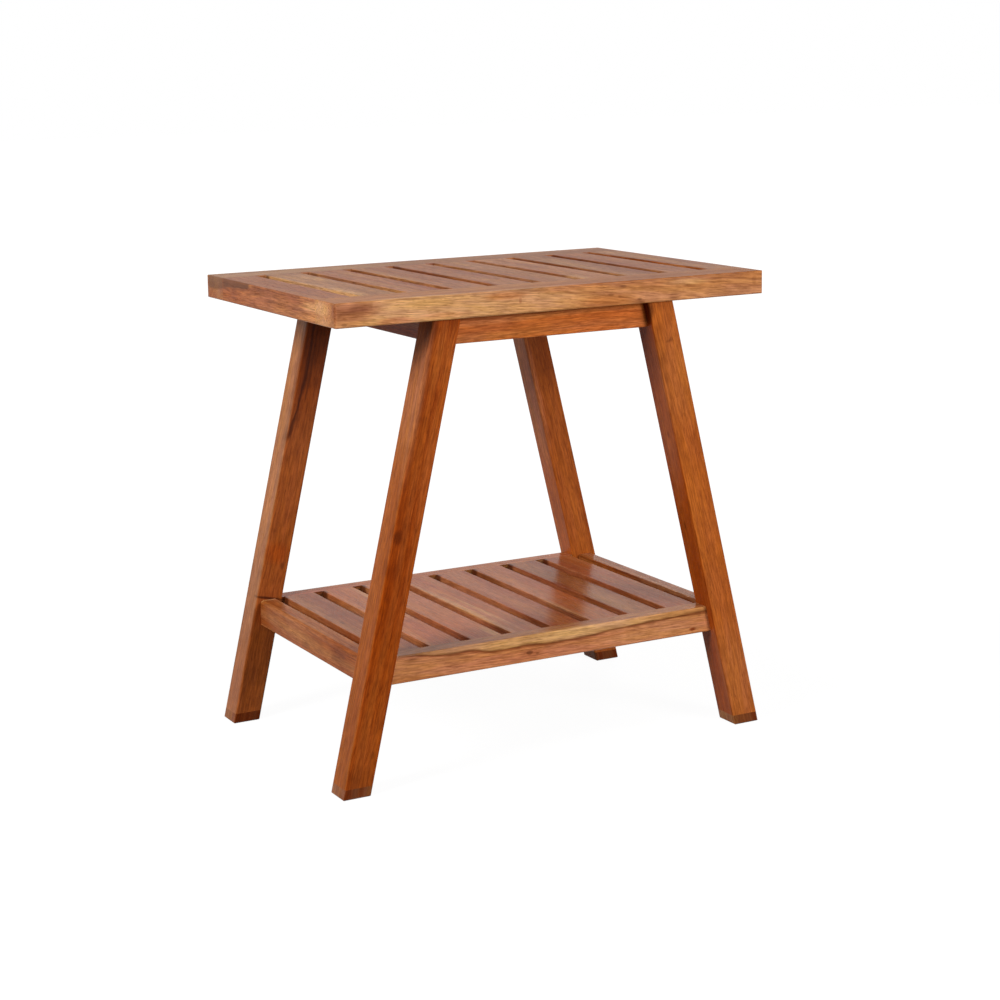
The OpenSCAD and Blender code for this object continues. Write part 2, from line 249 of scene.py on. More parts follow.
def clear_nodes(owner):
    """A graph over the emptied shader tree of a material or a world."""
    owner.use_nodes = True
    owner.node_tree.nodes.clear()
    return Graph(owner.node_tree)


def new_group(name, inputs, outputs):
    """An empty node group with its sockets: each input is (name, kind, default)."""
    tree = bpy.data.node_groups.new(name, "ShaderNodeTree")
    for socket_name, kind, default in inputs:
        socket = tree.interface.new_socket(socket_name, in_out="INPUT", socket_type="NodeSocket" + kind)
        if default is not None:
            socket.default_value = default
    for socket_name, kind in outputs:
        tree.interface.new_socket(socket_name, in_out="OUTPUT", socket_type="NodeSocket" + kind)
    graph = Graph(tree)
    return graph, graph.add("NodeGroupInput").outputs, graph.add("NodeGroupOutput").inputs


RIPPLE_SHARE = 0.14
MIDDLE_GREY = (0.5, 0.5, 0.5)


def growth_group():
    """Distance from the heart of the tree, straying along the board as a grown trunk does."""
    graph, given, out = new_group(
        "Growth",
        [("Board", "Vector", None), ("Wander", "Float", 9 * MM)],
        [("Radius", "Float"), ("Board", "Vector")],
    )
    board = given["Board"]
    slow = graph.grain(board, 3.5, 9, 1.5, 0.45, "Color")
    quick = graph.grain(board, 14, 70, output="Color")
    sway = graph.vector("SUBTRACT", slow, MIDDLE_GREY)
    ripple = graph.scaled(graph.vector("SUBTRACT", quick, MIDDLE_GREY), RIPPLE_SHARE)
    moved = graph.vector("ADD", board, graph.scaled(graph.vector("ADD", sway, ripple), given["Wander"]))
    graph.link(graph.vector("LENGTH", graph.vector("MULTIPLY", moved, (0, 1, 1))), out["Radius"])
    graph.link(moved, out["Board"])


def patch_group():
    """Mask of a stain, knot, stretch of sapwood, painted shade or painted highlight, with ragged ends along
    the grain.

    Its ellipsoid is the unit ball of Vector. Bulge is a wide, soft hill over it.
    """
    graph, given, out = new_group(
        "Patch",
        [
            ("Vector", "Vector", None), ("Board", "Vector", None), ("Softness", "Float", 0.2),
            ("Ragged", "Float", 0.3),
        ],
        [("Mask", "Float"), ("Edge", "Float"), ("Bulge", "Float")],
    )
    fibre = graph.grain(given["Board"], 16, 240, 3.0, 0.6)
    distance = graph.vector("LENGTH", given["Vector"])
    reach = graph.math("MULTIPLY_ADD", graph.math("SUBTRACT", fibre, 0.5), given["Ragged"], distance)
    inner = graph.math("SUBTRACT", 1.0, given["Softness"])
    outer = graph.math("ADD", 1.0, given["Softness"])
    mask = graph.step(reach, inner, outer, 1.0, 0.0)
    graph.link(mask, out["Mask"])
    graph.link(graph.times(graph.times(mask, graph.math("SUBTRACT", 1.0, mask)), 4.0), out["Edge"])
    graph.link(graph.step(distance, 0.3, 3.0, 1.0, 0.0), out["Bulge"])


def trace_group():
    """Masks of a streak that follows a drawn line, and of the wood past that line."""
    graph, given, out = new_group(
        "Trace",
        [
            ("Board", "Vector", None), ("Along", "Float", 0.0), ("Offset", "Float", 0.0),
            ("Width", "Float", 1 * MM), ("Softness", "Float", 0.5), ("Ragged", "Float", 0.3),
        ],
        [("Line", "Float"), ("Past", "Float")],
    )
    waver = graph.math("SUBTRACT", graph.grain(given["Board"], 45, 160, 3.0, 0.6), 0.5)
    swell = graph.grain(given["Board"], 30, 10)
    stray = graph.times(graph.times(given["Ragged"], given["Width"]), 4.0)
    offset = graph.math("MULTIPLY_ADD", waver, stray, given["Offset"])
    width = graph.times(given["Width"], graph.step(swell, 0.3, 0.7, 0.55, 1.45))
    soft = graph.times(width, given["Softness"])
    inner, outer = graph.math("SUBTRACT", width, soft), graph.math("ADD", width, soft)
    start, stop = graph.step(given["Along"], 0.0, 0.08), graph.step(given["Along"], 0.92, 1.0, 1.0, 0.0)
    ends = graph.times(start, stop)
    line = graph.step(graph.math("ABSOLUTE", offset), inner, outer, 1.0, 0.0)
    past = graph.step(offset, graph.times(soft, -1.0), soft)
    graph.link(graph.times(line, ends), out["Line"])
    graph.link(graph.times(past, ends), out["Past"])


PALE_SHARE, DEEP_SHARE, LINE_SHARE, FLECK_SHARE = 0.3, 0.26, 0.3, 0.34
VEIN_SHARE, PORE_SHARE, END_GRAIN_SHARE = 0.7, 0.4, 0.12
RED_SWING, BLUE_SWING = 0.85, 1.1
SATIN_SWING, PORE_MATT = 0.04, 0.12


def timber_group():
    """Varnished timber: colour, roughness and height from the board's own growth."""
    graph, given, out = new_group(
        "Timber",
        [
            ("Board", "Vector", None), ("Heart", "Color", None), ("Light", "Color", None),
            ("Shade", "Color", None), ("Bend", "Float", 0.0), ("Ring Width", "Float", 3.2 * MM),
            ("Wander", "Float", 13 * MM), ("Figure", "Float", 1.0), ("Streaks", "Float", 0.5),
            ("Roughness", "Float", 0.35), ("End Grain", "Float", 0.0), ("Cool", "Color", None),
            ("Warm", "Color", None),
        ],
        [("Color", "Color"), ("Roughness", "Float"), ("Height", "Float")],
    )
    board, figure, shade = given["Board"], given["Figure"], given["Shade"]
    growth = graph.group("Growth", {"Board": board, "Wander": given["Wander"]})
    grown = growth["Board"]
    rings = graph.math("DIVIDE", graph.math("ADD", growth["Radius"], given["Bend"]), given["Ring Width"])
    broad = graph.noise_along(rings, 0.3, 2.0, 0.55)
    fine = graph.noise_along(rings, 2.2, 2.0, 0.6)
    drift = graph.grain(grown, 4, 30, 2.5, 0.55)
    fibre = graph.grain(board, 38, 820, 3.0, 0.6)
    fleck = graph.grain(grown, 60, 800, 2.0, 0.6)
    curl = graph.grain(board, 120, 80)
    vein = graph.grain(grown, 6, 130)
    warmth = graph.grain(grown, 12, 90, 3.0, 0.65)
    pores = graph.step(graph.grain(board, 120, 1100, 1.0), 0.62, 0.70)

    tone = graph.step(graph.math("MULTIPLY_ADD", drift, 0.6, graph.times(broad, 0.4)), 0.36, 0.64)
    wood = graph.mix(graph.times(tone, graph.times(figure, PALE_SHARE)), given["Heart"], given["Light"])
    deep = graph.times(graph.math("SUBTRACT", 1.0, tone), graph.times(figure, DEEP_SHARE))
    wood = graph.shaded(wood, deep, shade)
    hue = graph.mix(graph.step(warmth, 0.36, 0.64), given["Cool"], given["Warm"])
    wood = graph.mix(1.0, wood, hue, "MULTIPLY")

    dark_vein = graph.times(graph.step(vein, 0.55, 0.74), VEIN_SHARE)
    darkest = graph.math("MAXIMUM", graph.step(broad, 0.52, 0.76), dark_vein)
    line = graph.times(graph.step(fine, 0.52, 0.72), graph.times(figure, LINE_SHARE))
    for amount in (
        graph.math("MULTIPLY", darkest, given["Streaks"], clamp=True), line, graph.times(pores, PORE_SHARE),
        graph.times(given["End Grain"], END_GRAIN_SHARE),
    ):
        wood = graph.shaded(wood, amount, shade)

    level = graph.times(graph.step(fibre, 0.25, 0.75, 0.96, 1.22), graph.step(curl, 0.3, 0.7, 0.95, 1.05))
    spread = graph.times(graph.step(fleck, 0.3, 0.7, -1.0, 1.0), graph.times(figure, FLECK_SHARE))
    level = graph.times(level, graph.math("ADD", spread, 1.0))
    red, blue = (
        graph.math("MULTIPLY_ADD", level, swing, 1 - swing) for swing in (RED_SWING, BLUE_SWING)
    )
    texture = graph.add("ShaderNodeCombineColor", {0: red, 1: level, 2: blue}).outputs[0]
    graph.link(graph.mix(1.0, wood, texture, "MULTIPLY"), out["Color"])

    satin = graph.math("ADD", graph.step(fibre, 0.2, 0.8, -SATIN_SWING, SATIN_SWING), given["Roughness"])
    graph.link(graph.math("MULTIPLY_ADD", pores, PORE_MATT, satin), out["Roughness"])
    graph.link(graph.math("MULTIPLY_ADD", fibre, 0.5, graph.times(pores, -1.0)), out["Height"])




Patch = namedtuple(
    "Patch", "colour centre size strength softness ragged edge bulge lean",
    defaults=(1.0, 0.4, 0.3, 0.0, 0.0, (0, 0, 0)),
)
Trace = namedtuple(
    "Trace", "colour axes points width strength softness ragged past reach",
    defaults=(0.9, 0.8, False, None),
)
Board = namedtuple(
    "Board", "faces along pith turn tones figure streaks gloss roughness marks light",
    defaults=("x", (0, 60, -50), 0.0, (1, 1, 1), 1.0, 0.5, 0.06, 0.35, (), "sapwood"),
)

OVER_GRAIN = ("shade", "mineral", "umber")
GRAIN_TURNS = {"x": (0, 0, 0), "y": (0, 0, -pi / 2), "z": (0, pi / 2, 0)}
FACE_EDGE, FACE_FULL = 0.55, 0.85
CURVE_MARGIN = 2


def turn_of(euler):
    """Turn that a Mapping node makes of its Rotation."""
    turn = Matrix.Identity(3)
    for angle, axis in zip(euler, "XYZ"):
        turn = Matrix.Rotation(angle, 3, axis) @ turn
    return turn


def heart_colour(graph, normal, board, timber):
    """Colour of the faces across X, across Y and across Z, each cut from its own side of the log."""
    facing = graph.add("ShaderNodeSeparateXYZ", {0: graph.vector("ABSOLUTE", normal)}).outputs
    across_x, across_y, across_z = (
        tuple(channel * tone for channel in getattr(timber, name))
        for name, tone in zip(board.faces, board.tones)
    )
    sides = graph.mix(graph.step(facing["X"], FACE_EDGE, FACE_FULL), across_y, across_x)
    return graph.mix(graph.step(facing["Z"], FACE_EDGE, FACE_FULL), sides, across_z)


def patch_masks(graph, here, in_board, patch):
    placed = {
        "Vector": here, "Location": Vector(patch.centre) * MM, "Rotation": patch.lean,
        "Scale": Vector(patch.size) * MM,
    }
    local = graph.add("ShaderNodeMapping", placed, vector_type="TEXTURE").outputs[0]
    return graph.group("Patch", {
        "Vector": local, "Board": in_board, "Softness": patch.softness, "Ragged": patch.ragged,
    })


def draw_curve(curve, points, low, high):
    """Bends a node's curve through (along, across) points, spread over its whole width and height."""
    first, last = points[0][0], points[-1][0]
    spots = [((along - first) / (last - first), (across - low) / (high - low)) for along, across in points]
    curve.points[0].location, curve.points[-1].location = spots[0], spots[-1]
    for spot in spots[1:-1]:
        curve.points.new(*spot)


def trace_mask(graph, here, in_board, trace):
    """Mask of a drawn streak. Its points are (along, across) in millimetres on the two named axes."""
    places = graph.add("ShaderNodeSeparateXYZ", {0: here}).outputs
    along, across = (places[axis.upper()] for axis in trace.axes)
    points = sorted(trace.points)
    first, last = points[0][0] * MM, points[-1][0] * MM
    low = min(point[1] for point in points) - CURVE_MARGIN
    high = max(point[1] for point in points) + CURVE_MARGIN
    share = graph.math("DIVIDE", graph.math("SUBTRACT", along, first), last - first)
    line = graph.add("ShaderNodeFloatCurve", {"Value": graph.math("ADD", share, 0.0, clamp=True)})
    draw_curve(line.mapping.curves[0], points, low, high)
    line.mapping.update()
    drawn = graph.math("MULTIPLY_ADD", line.outputs[0], (high - low) * MM, low * MM)
    masks = graph.group("Trace", {
        "Board": in_board, "Along": share, "Offset": graph.math("SUBTRACT", across, drawn),
        "Width": trace.width * MM, "Softness": trace.softness, "Ragged": trace.ragged,
    })
    mask = masks["Past" if trace.past else "Line"]
    if trace.reach:
        depth = places[next(axis for axis in "xyz" if axis not in trace.axes).upper()]
        near, far = (value * MM for value in trace.reach)
        nearer, farther = graph.step(depth, near - MM, near), graph.step(depth, far, far + 2 * MM, 1.0, 0.0)
        mask = graph.times(mask, graph.times(nearer, farther))
    return mask


def paint(graph, timber, colour, name, amount):
    """The colour with this stain, painted shade or painted highlight over it. The dark streak's own colour
    multiplies what it covers.
    """
    target = getattr(timber, name)
    if name == "shade":
        target = graph.mix(1.0, colour, target, "MULTIPLY")
    return graph.mix(amount, colour, target)


def end_grain(graph, normal, rotation):
    """How squarely a face cuts across the board's own grain."""
    facing = graph.vector("DOT_PRODUCT", normal, rotation.inverted() @ Vector((1, 0, 0)))
    return graph.step(graph.math("ABSOLUTE", facing), 0.7, 0.95)


def board_material(name, board, timber):
    """Material of one board, cut from its own place in a tree. Places and sizes are in millimetres."""
    material = bpy.data.materials.new(name)
    graph = clear_nodes(material)
    coordinates = graph.add("ShaderNodeTexCoord")
    here, normal = coordinates.outputs["Object"], coordinates.outputs["Normal"]

    low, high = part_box(name)
    euler = Vector(GRAIN_TURNS[board.along]) + Vector((0, board.turn, 0))
    rotation = turn_of(euler)
    place = rotation @ -((low + high) / 2) + Vector(board.pith) * MM
    placed = {"Vector": here, "Location": place, "Rotation": euler}
    in_board = graph.add("ShaderNodeMapping", placed).outputs[0]

    heart = heart_colour(graph, normal, board, timber)
    over, bend = [], 0.0
    for mark in board.marks:
        if isinstance(mark, Patch):
            masks = patch_masks(graph, here, in_board, mark)
            mask = masks["Mask"]
            if mark.bulge:
                bend = graph.math("MULTIPLY_ADD", masks["Bulge"], mark.bulge * MM, bend)
        else:
            masks, mask = None, trace_mask(graph, here, in_board, mark)
        if mark.colour in OVER_GRAIN:
            over.append((mark, mask, masks))
        else:
            heart = paint(graph, timber, heart, mark.colour, graph.times(mask, mark.strength))

    wood = graph.group("Timber", {
        "Board": in_board, "Heart": heart, "Light": getattr(timber, board.light), "Shade": timber.shade,
        "Bend": bend, "Ring Width": timber.ring_width, "Wander": timber.wander, "Figure": board.figure,
        "Streaks": board.streaks, "Roughness": board.roughness,
        "End Grain": end_grain(graph, normal, rotation), "Cool": timber.cool, "Warm": timber.warm,
    })
    colour = wood["Color"]
    for mark, mask, masks in over:
        colour = paint(graph, timber, colour, mark.colour, graph.times(mask, mark.strength))
        if masks and mark.edge:
            colour = paint(graph, timber, colour, "shade", graph.times(masks["Edge"], mark.edge))
    relief = {"Height": wood["Height"], "Strength": 1.0, "Distance": timber.pore_depth}
    surface = graph.add("ShaderNodeBsdfPrincipled", {
        "Base Color": colour, "Roughness": wood["Roughness"], "Specular IOR Level": board.gloss,
        "Normal": graph.add("ShaderNodeBump", relief).outputs[0],
    })
    graph.add("ShaderNodeOutputMaterial", {"Surface": surface.outputs[0]})
    return material


def dress(boards, context):
    """Gives each CAD node named here its own board's material."""
    for node, board in boards.items():
        material = board_material(node, board, context.scene.bench_timber)
        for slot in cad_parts[node].material_slots:
            slot.material = material
    return {"FINISHED"}


def low_corner(node):
    """Left, front, low corner of a CAD node's box, in millimetres."""
    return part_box(node)[0] / MM


LEFT, RIGHT = -1, 1
LEG_SPLAY = radians(13.3)
LEG_WIDTH = 28.8
LEG_FOOT = low_corner("leg_front_left")
FRONT_LEG_Y, BACK_LEG_Y = LEG_FOOT.y, low_corner("leg_back_left").y
SEAT_LEFT, SEAT_FRONT = low_corner("seat_front_rail")[:2]
RAIL_FRONT, APRON_FRONT = low_corner("shelf_front_rail").y, low_corner("apron_front").y
FRONT_SKIN = (SEAT_FRONT - 1.5, SEAT_FRONT + 4.5)
END_SKIN = (SEAT_LEFT - 1, SEAT_LEFT + 0.5)
RAIL_SKIN = (RAIL_FRONT - 1.5, RAIL_FRONT + 0.2)


def leg_x(side, height, inset):
    """X of a place on a leg, so far in from the leg's outer arris at this height."""
    return side * (-LEG_FOOT.x - tan(LEG_SPLAY) * (height - LEG_FOOT.z) - inset)


def leaning_patch(side, colour, height, inset, y, size, *look, **more):
    """Patch that leans with its leg."""
    place = (leg_x(side, height, inset), y, height)
    return Patch(colour, place, size, *look, lean=(0, -side * LEG_SPLAY, 0), **more)


def on_leg(side, y, colour, height, inset, across, along, *look, **more):
    """Patch on a leg's front, so far in from its outer arris."""
    return leaning_patch(side, colour, height, inset, y, (across, 8, along), *look, **more)


def beside_leg(side, inset, colour, height, y, across, along, *look, deep=6):
    """Patch on a leg's outer side or, with the leg's width as its inset, on its inner side."""
    return leaning_patch(side, colour, height, inset, y, (deep, across, along), *look)


def leg_streak(side, y, colour, spots, width, strength):
    """Streak down a leg's front through (height, inset from the outer arris)."""
    points = [(height, leg_x(side, height, inset)) for height, inset in spots]
    return Trace(colour, "zx", points, width, strength, reach=(y - 1, y + 9))


def front_patch(colour, x, z, across, along, *look, **more):
    return Patch(colour, (x, SEAT_FRONT, z), (across, 9, along), *look, **more)


def front_streak(colour, points, width, strength, **more):
    return Trace(colour, "xz", points, width, strength, reach=FRONT_SKIN, **more)


def end_patch(colour, y, z, across, along, *look, **more):
    return Patch(colour, (SEAT_LEFT, y, z), (9, across, along), *look, **more)


def end_streak(colour, points, width, strength, **more):
    return Trace(colour, "yz", points, width, strength, reach=END_SKIN, **more)


def apron_patch(colour, x, z, across, along, *look):
    return Patch(colour, (x, APRON_FRONT, z), (across, 6, along), *look)


def rail_patch(colour, x, z, across, along, *look, **more):
    return Patch(colour, (x, RAIL_FRONT, z), (across, 8, along), *look, **more)


def rail_streak(colour, points, width, strength, *look, **more):
    return Trace(colour, "xz", points, width, strength, *look, reach=RAIL_SKIN, **more)


SEAT_FRONT_MARKS = (
    front_patch("sapwood", -138, 444, 68, 20, 0.8, 0.5, 0.9),
    front_patch("sapwood", -42, 446, 58, 18, 0.6, 0.6, 0.9),
    front_patch("sapwood", -150, 450, 24, 3.5, 0.5, 0.6, 0.9),
    front_patch("sapwood", 140, 452, 22, 3, 0.55, 0.6, 0.9),
    front_patch("coral", -169, 437, 17, 3.5, 0.8, 0.5, 0.9),
    front_patch("coral", -120, 439, 24, 2.6, 0.5, 0.6, 0.9),
    front_patch("amber", -57, 452, 20, 3.5, 0.7, 0.5, 0.9),
    front_patch("brown", -212, 449, 24, 9, 1.0, 0.5, 0.6),
    front_patch("brown", -42, 447, 1.5, 3, 0.6),
    front_patch("coral", 10, 455, 30, 3, 0.6, 0.6, 0.9),
    front_patch("orange", 54, 440, 27, 5, 0.5, 0.5, 0.9),
    front_patch("brown", 205, 447, 26, 9, 0.35, 0.6, 0.9),
    end_patch("sapwood", -122, 449.5, 16, 6, 0.75, 0.5),
    end_patch("sapwood", -122, 438, 24, 4, 0.4, 0.5),
    front_patch("shade", -228, 446, 1.0, 14, 0.5),
    Patch("shade", (150, -131, 457), (90, 24, 5), 0.2, 0.8),
    front_streak(
        "shade", ((-227, 445), (-220, 447.4), (-210, 450), (-190, 453.4)), 2.6, 0.5, softness=1.0
    ),
    front_patch("umber", -219.5, 437.5, 2.6, 1.5, 0.35),
    front_streak(
        "shade",
        ((-50, 456.5), (-27, 455), (-12, 453), (0, 452), (17, 450), (40, 446.5), (57, 445), (80, 443)),
        1.9, 0.42, softness=1.0,
    ),
    front_streak(
        "shade", ((60, 453.5), (80, 450), (100, 447), (120, 441), (134, 436)), 1.9, 0.36, softness=1.0
    ),
    front_streak("shade", ((84, 451), (110, 448), (140, 440), (160, 435)), 1.2, 0.3, softness=1.0),
    front_streak("shade", ((62, 444), (78, 440), (94, 436)), 1.6, 0.42, softness=1.0),
    front_streak(
        "shade", ((112, 454), (130, 450), (150, 446), (180, 440), (206, 435)), 2.0, 0.32, softness=1.0
    ),
    front_streak("shade", ((150, 455), (175, 450), (205, 445), (226, 443)), 1.4, 0.25, softness=1.0),
    front_patch("umber", 69, 452, 3.2, 1.4, 0.3, 0.6, bulge=1.2),
    front_patch("umber", 55, 445, 3.0, 1.3, 0.3, 0.6, bulge=1.0),
    front_patch("umber", 87, 439, 2.4, 1.3, 0.4, 0.6, bulge=0.8),
    front_patch("shade", 218, 448, 2.4, 4.5, 0.4, 0.6),
    front_streak("mineral", ((-195, 456.2), (-100, 455.6), (0, 456), (90, 455.4), (224, 456)), 0.5, 0.3),
)
SEAT_END_MARKS = (
    end_patch("salmon", -99, 446, 24, 16, 0.6, 0.6),
    end_patch("sapwood", -106, 449.5, 20, 4, 0.5, 0.5),
    end_patch("salmon", 40, 455, 5, 1.2, 0.9),
    end_patch("russet", 92, 441, 46, 9, 0.8, 0.6),
    end_patch("shade", 92, 447, 36, 12, 0.26, 0.8),
    end_patch("salmon", -15, 445, 36, 8, 0.45, 0.8),
    end_streak(
        "mineral", ((40, 456), (47, 452.5), (60, 450.5), (77, 449.4), (95, 448.5), (112, 446.5)),
        1.2, 0.62, past=True,
    ),
    end_streak("shade", ((-84, 455.2), (-30, 454.6), (10, 455.2), (38, 454.4)), 0.6, 0.5),
    end_streak(
        "shade", ((-100, 442), (-91, 442.5), (-64, 444), (-20, 444.5), (20, 446)), 1.5, 0.42, softness=1.0
    ),
    end_patch("umber", -64, 444, 4, 1.3, 0.3, 0.6),
    end_patch("shade", -91, 442.5, 9, 1.1, 0.5, 0.6),
    end_patch("coral", 60, 444, 60, 6, 0.45, 0.6, 0.9),
)
SEAT_BACK_MARKS = (
    end_patch("salmon", 126, 438, 22, 7, 0.4, 0.6, 0.6),
    end_patch("russet", 138, 439, 10, 5, 0.5, 0.6),
    Patch("beech", (-160, 131, 457), (120, 24, 6), 0.17, 0.7),
    end_streak(
        "mineral", ((106, 447), (118, 446), (130, 444.5), (142, 445), (150, 446)), 1.2, 0.62, past=True
    ),
)

seat_board = partial(Board, roughness=0.42)
SEAT_BOARDS = {
    "seat_front_rail": seat_board(
        ("salmon", "salmon", "amber"), "x", (0, 55, -40), radians(-4), (0.92, 1.05, 0.755), 0.8, 0.25,
        marks=SEAT_FRONT_MARKS,
    ),
    "seat_back_rail": seat_board(
        ("brown",) * 3, "x", (300, -70, -60), tones=(0.8, 0.9, 0.68), figure=0.75, streaks=0.3,
        marks=SEAT_BACK_MARKS,
    ),
    "seat_end_left": seat_board(
        ("brown",) * 3, "y", (100, 60, -50), tones=(0.86, 0.9, 0.89), streaks=0.35, marks=SEAT_END_MARKS
    ),
    "seat_end_right": seat_board(
        ("russet", "brown", "brown"), "y", (500, -60, -50), tones=(0.85, 0.9, 0.77), streaks=0.35,
        marks=(
            Patch("shade", (193, -98, 450), (3, 14, 9), 0.45, 0.6),
            Patch("salmon", (193, -52, 450), (3, 26, 9), 0.7, 0.6),
        ),
    ),
}
SEAT_SLAT_MARKS = {
    1: (
        Patch("beech", (-184, -5, 452), (3.5, 112, 9), 0.3, 0.5, 0.5),
        Patch("sapwood", (-180, 0, 458), (9, 104, 5), 0.3, 0.8, 0.6),
        # Painted shade at the far end of the gap beside the left end board.
        Patch("umber", (-183, 105, 451), (3, 4.5, 9), 0.7, 0.5),
        Patch("sapwood", (-181, -78, 457), (6, 34, 5), 0.55, 0.6, 0.5),
        Patch("sapwood", (-156, 64, 457), (9, 34, 5), 0.3, 0.7, 0.5),
    ),
    # Painted shade at the far end of the gap on slat 2's left wall.
    2: (Patch("umber", (-136, 100, 451), (3, 9, 9), 0.45, 0.6),),
    3: (Patch("salmon", (-89, -74, 450), (3, 34, 8), 0.45, 0.6),),
    4: (
        Patch("salmon", (-42, -66, 450), (3, 50, 8), 0.5, 0.6),
        # Painted shade at the far end of the gap on slat 4's left wall.
        Patch("umber", (-42, 100, 451), (3, 9, 9), 0.5, 0.6),
    ),
    5: (Patch("sapwood", (27, 60, 458), (5, 60, 5), 0.12, 0.6, 0.5),),
    6: (Patch("sapwood", (52, -97, 458), (8, 26, 6), 0.6, 0.6, 0.5),),
    8: (Patch("shade", (170, -82, 457), (17, 40, 8), 0.24, 0.7, 0.5),),
}
# Tone of the seat slats' gap walls, darkened as painted shade inside the narrow gaps.
SEAT_GAP_SHADE = 0.42
SEAT_SLAT_TOPS = (0.71, 0.67, 0.85, 0.64, 0.61, 0.94, 0.71, 0.66)
RED_SEAT_SLATS = (2, 4, 5, 8)
for number, top in enumerate(SEAT_SLAT_TOPS, 1):
    SEAT_BOARDS[f"seat_slat_{number}"] = seat_board(
        ("copper", "brown", "copper" if number in RED_SEAT_SLATS else "brown"), "y",
        (700 * number, 30 + 13 * (5 * number % 7), -30 - 10 * (3 * number % 5)),
        tones=(SEAT_GAP_SHADE, 0.9, top), streaks=0.35, marks=SEAT_SLAT_MARKS.get(number, ()),
    )

on_front_left, down_front_left = (partial(make, LEFT, FRONT_LEG_Y) for make in (on_leg, leg_streak))
on_front_right, down_front_right = (partial(make, RIGHT, FRONT_LEG_Y) for make in (on_leg, leg_streak))
on_back_left, down_back_left = (partial(make, LEFT, BACK_LEG_Y) for make in (on_leg, leg_streak))
on_back_right, down_back_right = (partial(make, RIGHT, BACK_LEG_Y) for make in (on_leg, leg_streak))
outside_left, inside_right = partial(beside_leg, LEFT, 0), partial(beside_leg, RIGHT, LEG_WIDTH)

FRONT_LEFT_MARKS = (
    on_front_left("orange", 402, 13, 14, 28, 0.5, 0.6, 0.6),
    # Painted highlight: the lighter strip along the front's outer arris, from z 324 to 436.
    on_front_left("brown", 380, 0.5, 3.2, 56, 0.6, 0.6),
    down_front_left("shade", ((372, 18), (340, 16), (320, 17), (298, 15)), 2.6, 0.32),
    down_front_left("shade", ((350, 9), (330, 8), (305, 9)), 2.0, 0.3),
    on_front_left("orange", 318, 20, 4, 40, 0.3, 0.6, 0.6),
    down_front_left("shade", ((232, 20), (190, 18), (158, 19)), 1.6, 0.24),
    down_front_left("shade", ((216, 9), (190, 8), (168, 9)), 2.2, 0.12),
    on_front_left("umber", 239, 5.5, 3.2, 5.5, 0.5, 0.7, edge=0.3, bulge=1.0),
    on_front_left("shade", 243, 8, 7, 12, 0.35, 0.7),
    on_front_left("shade", 206, 8, 5, 9, 0.4, 0.7),
    on_front_left("umber", 38, 22, 2, 3.5, 0.4, 0.7),
    on_front_left("russet", 90, 13, 18, 74, 0.15, 0.6),
    on_front_left("umber", 14, 13, 20, 14, 0.26, 0.8),
    on_front_left("shade", 62, 13, 18, 40, 0.1, 0.8),
    outside_left("umber", 50, -132, 16, 42, 0.1, 0.6),
    outside_left("mineral", 335, -145.5, 3.5, 84, 0.1, 0.7),
    # Painted shadow: the seat's shadow at the top of the left face, by the front arris.
    outside_left("umber", 426, -142, 8, 16, 0.45, 0.5),
    outside_left("brown", 345, -142, 5, 60, 0.75, 0.6),
    outside_left("salmon", 365, -130, 16, 52, 0.45, 0.6),
    outside_left("shade", 211, -142, 3.5, 9, 0.5, 0.7),
)
FRONT_RIGHT_MARKS = (
    # Painted shade: the top of the inner face beside the apron, in the seat's shadow.
    Patch("umber", (leg_x(RIGHT, 424, LEG_WIDTH), -141, 424), (5, 7, 15), 0.8, 0.3),
    on_front_right("umber", 395.5, 15, 3.0, 1.3, 0.34, 0.8, 1.4, bulge=0.8),
    on_front_right("umber", 397, 12, 1.6, 2.0, 0.34, 0.8, 1.2),
    on_front_right("shade", 398, 13, 6, 6, 0.2, 0.8),
    down_front_right("shade", ((388, 25), (350, 24.5), (300, 25), (270, 24)), 2.2, 0.3),
    down_front_right("shade", ((222, 18), (195, 17.5), (162, 18)), 1.6, 0.35),
    on_front_right("amber", 362, 14, 18, 44, 0.45, 0.6),
    on_front_right("salmon", 52, 14, 20, 50, 0.28, 0.6),
    inside_right("brown", 328, -132, 16, 76, 0.38, 0.5),
    # Painted shade: darkens the top of the inner face under the seat and apron.
    inside_right("umber", 384, -132, 18, 30, 0.3, 0.6),
    inside_right("umber", 302, -134, 2, 3, 0.4, 0.7, deep=5),
    inside_right("umber", 208, -130, 2, 4, 0.4, 0.7, deep=5),
)
BACK_LEFT_MARKS = (
    on_back_left("red", 360, 13, 16, 46, 0.6, 0.7, 0.3),
    # Dark heartwood and painted shade under the seat: these darken the top of the front.
    on_back_left("umber", 384, 13, 16, 36, 0.6, 0.7, 0.3),
    on_back_left("umber", 330, 13, 16, 50, 0.25, 0.8, 0.3),
    down_back_left(
        "umber",
        ((410, 8), (400, 8), (380, 9), (350, 8.5), (330, 7.5), (315, 6), (300, 3.5), (290, 2), (284, 0)),
        1.5, 0.85,
    ),
    down_back_left("umber", ((402, 13), (360, 13.5), (322, 13)), 0.8, 0.5),
    on_back_left("red", 172, 13, 12, 10, 0.6, 0.6),
    on_back_left("umber", 158, 22, 2, 4, 0.5),
    on_back_left("orange", 58, 13, 18, 50, 0.3, 0.6),
    # Painted contact shadow: the dark line where the left stretcher's top meets this leg's front.
    on_back_left("umber", 126.4, 13, 15, 1.4, 0.9, 0.6),
    outside_left("russet", 50, 132, 18, 56, 0.35, 0.6),
    outside_left("shade", 58, 132, 18, 44, 0.14, 0.7),
    outside_left("salmon", 228, 131, 9, 24, 0.55, 0.5),
    outside_left("salmon", 103, 128, 3, 4, 0.7, 0.5),
)
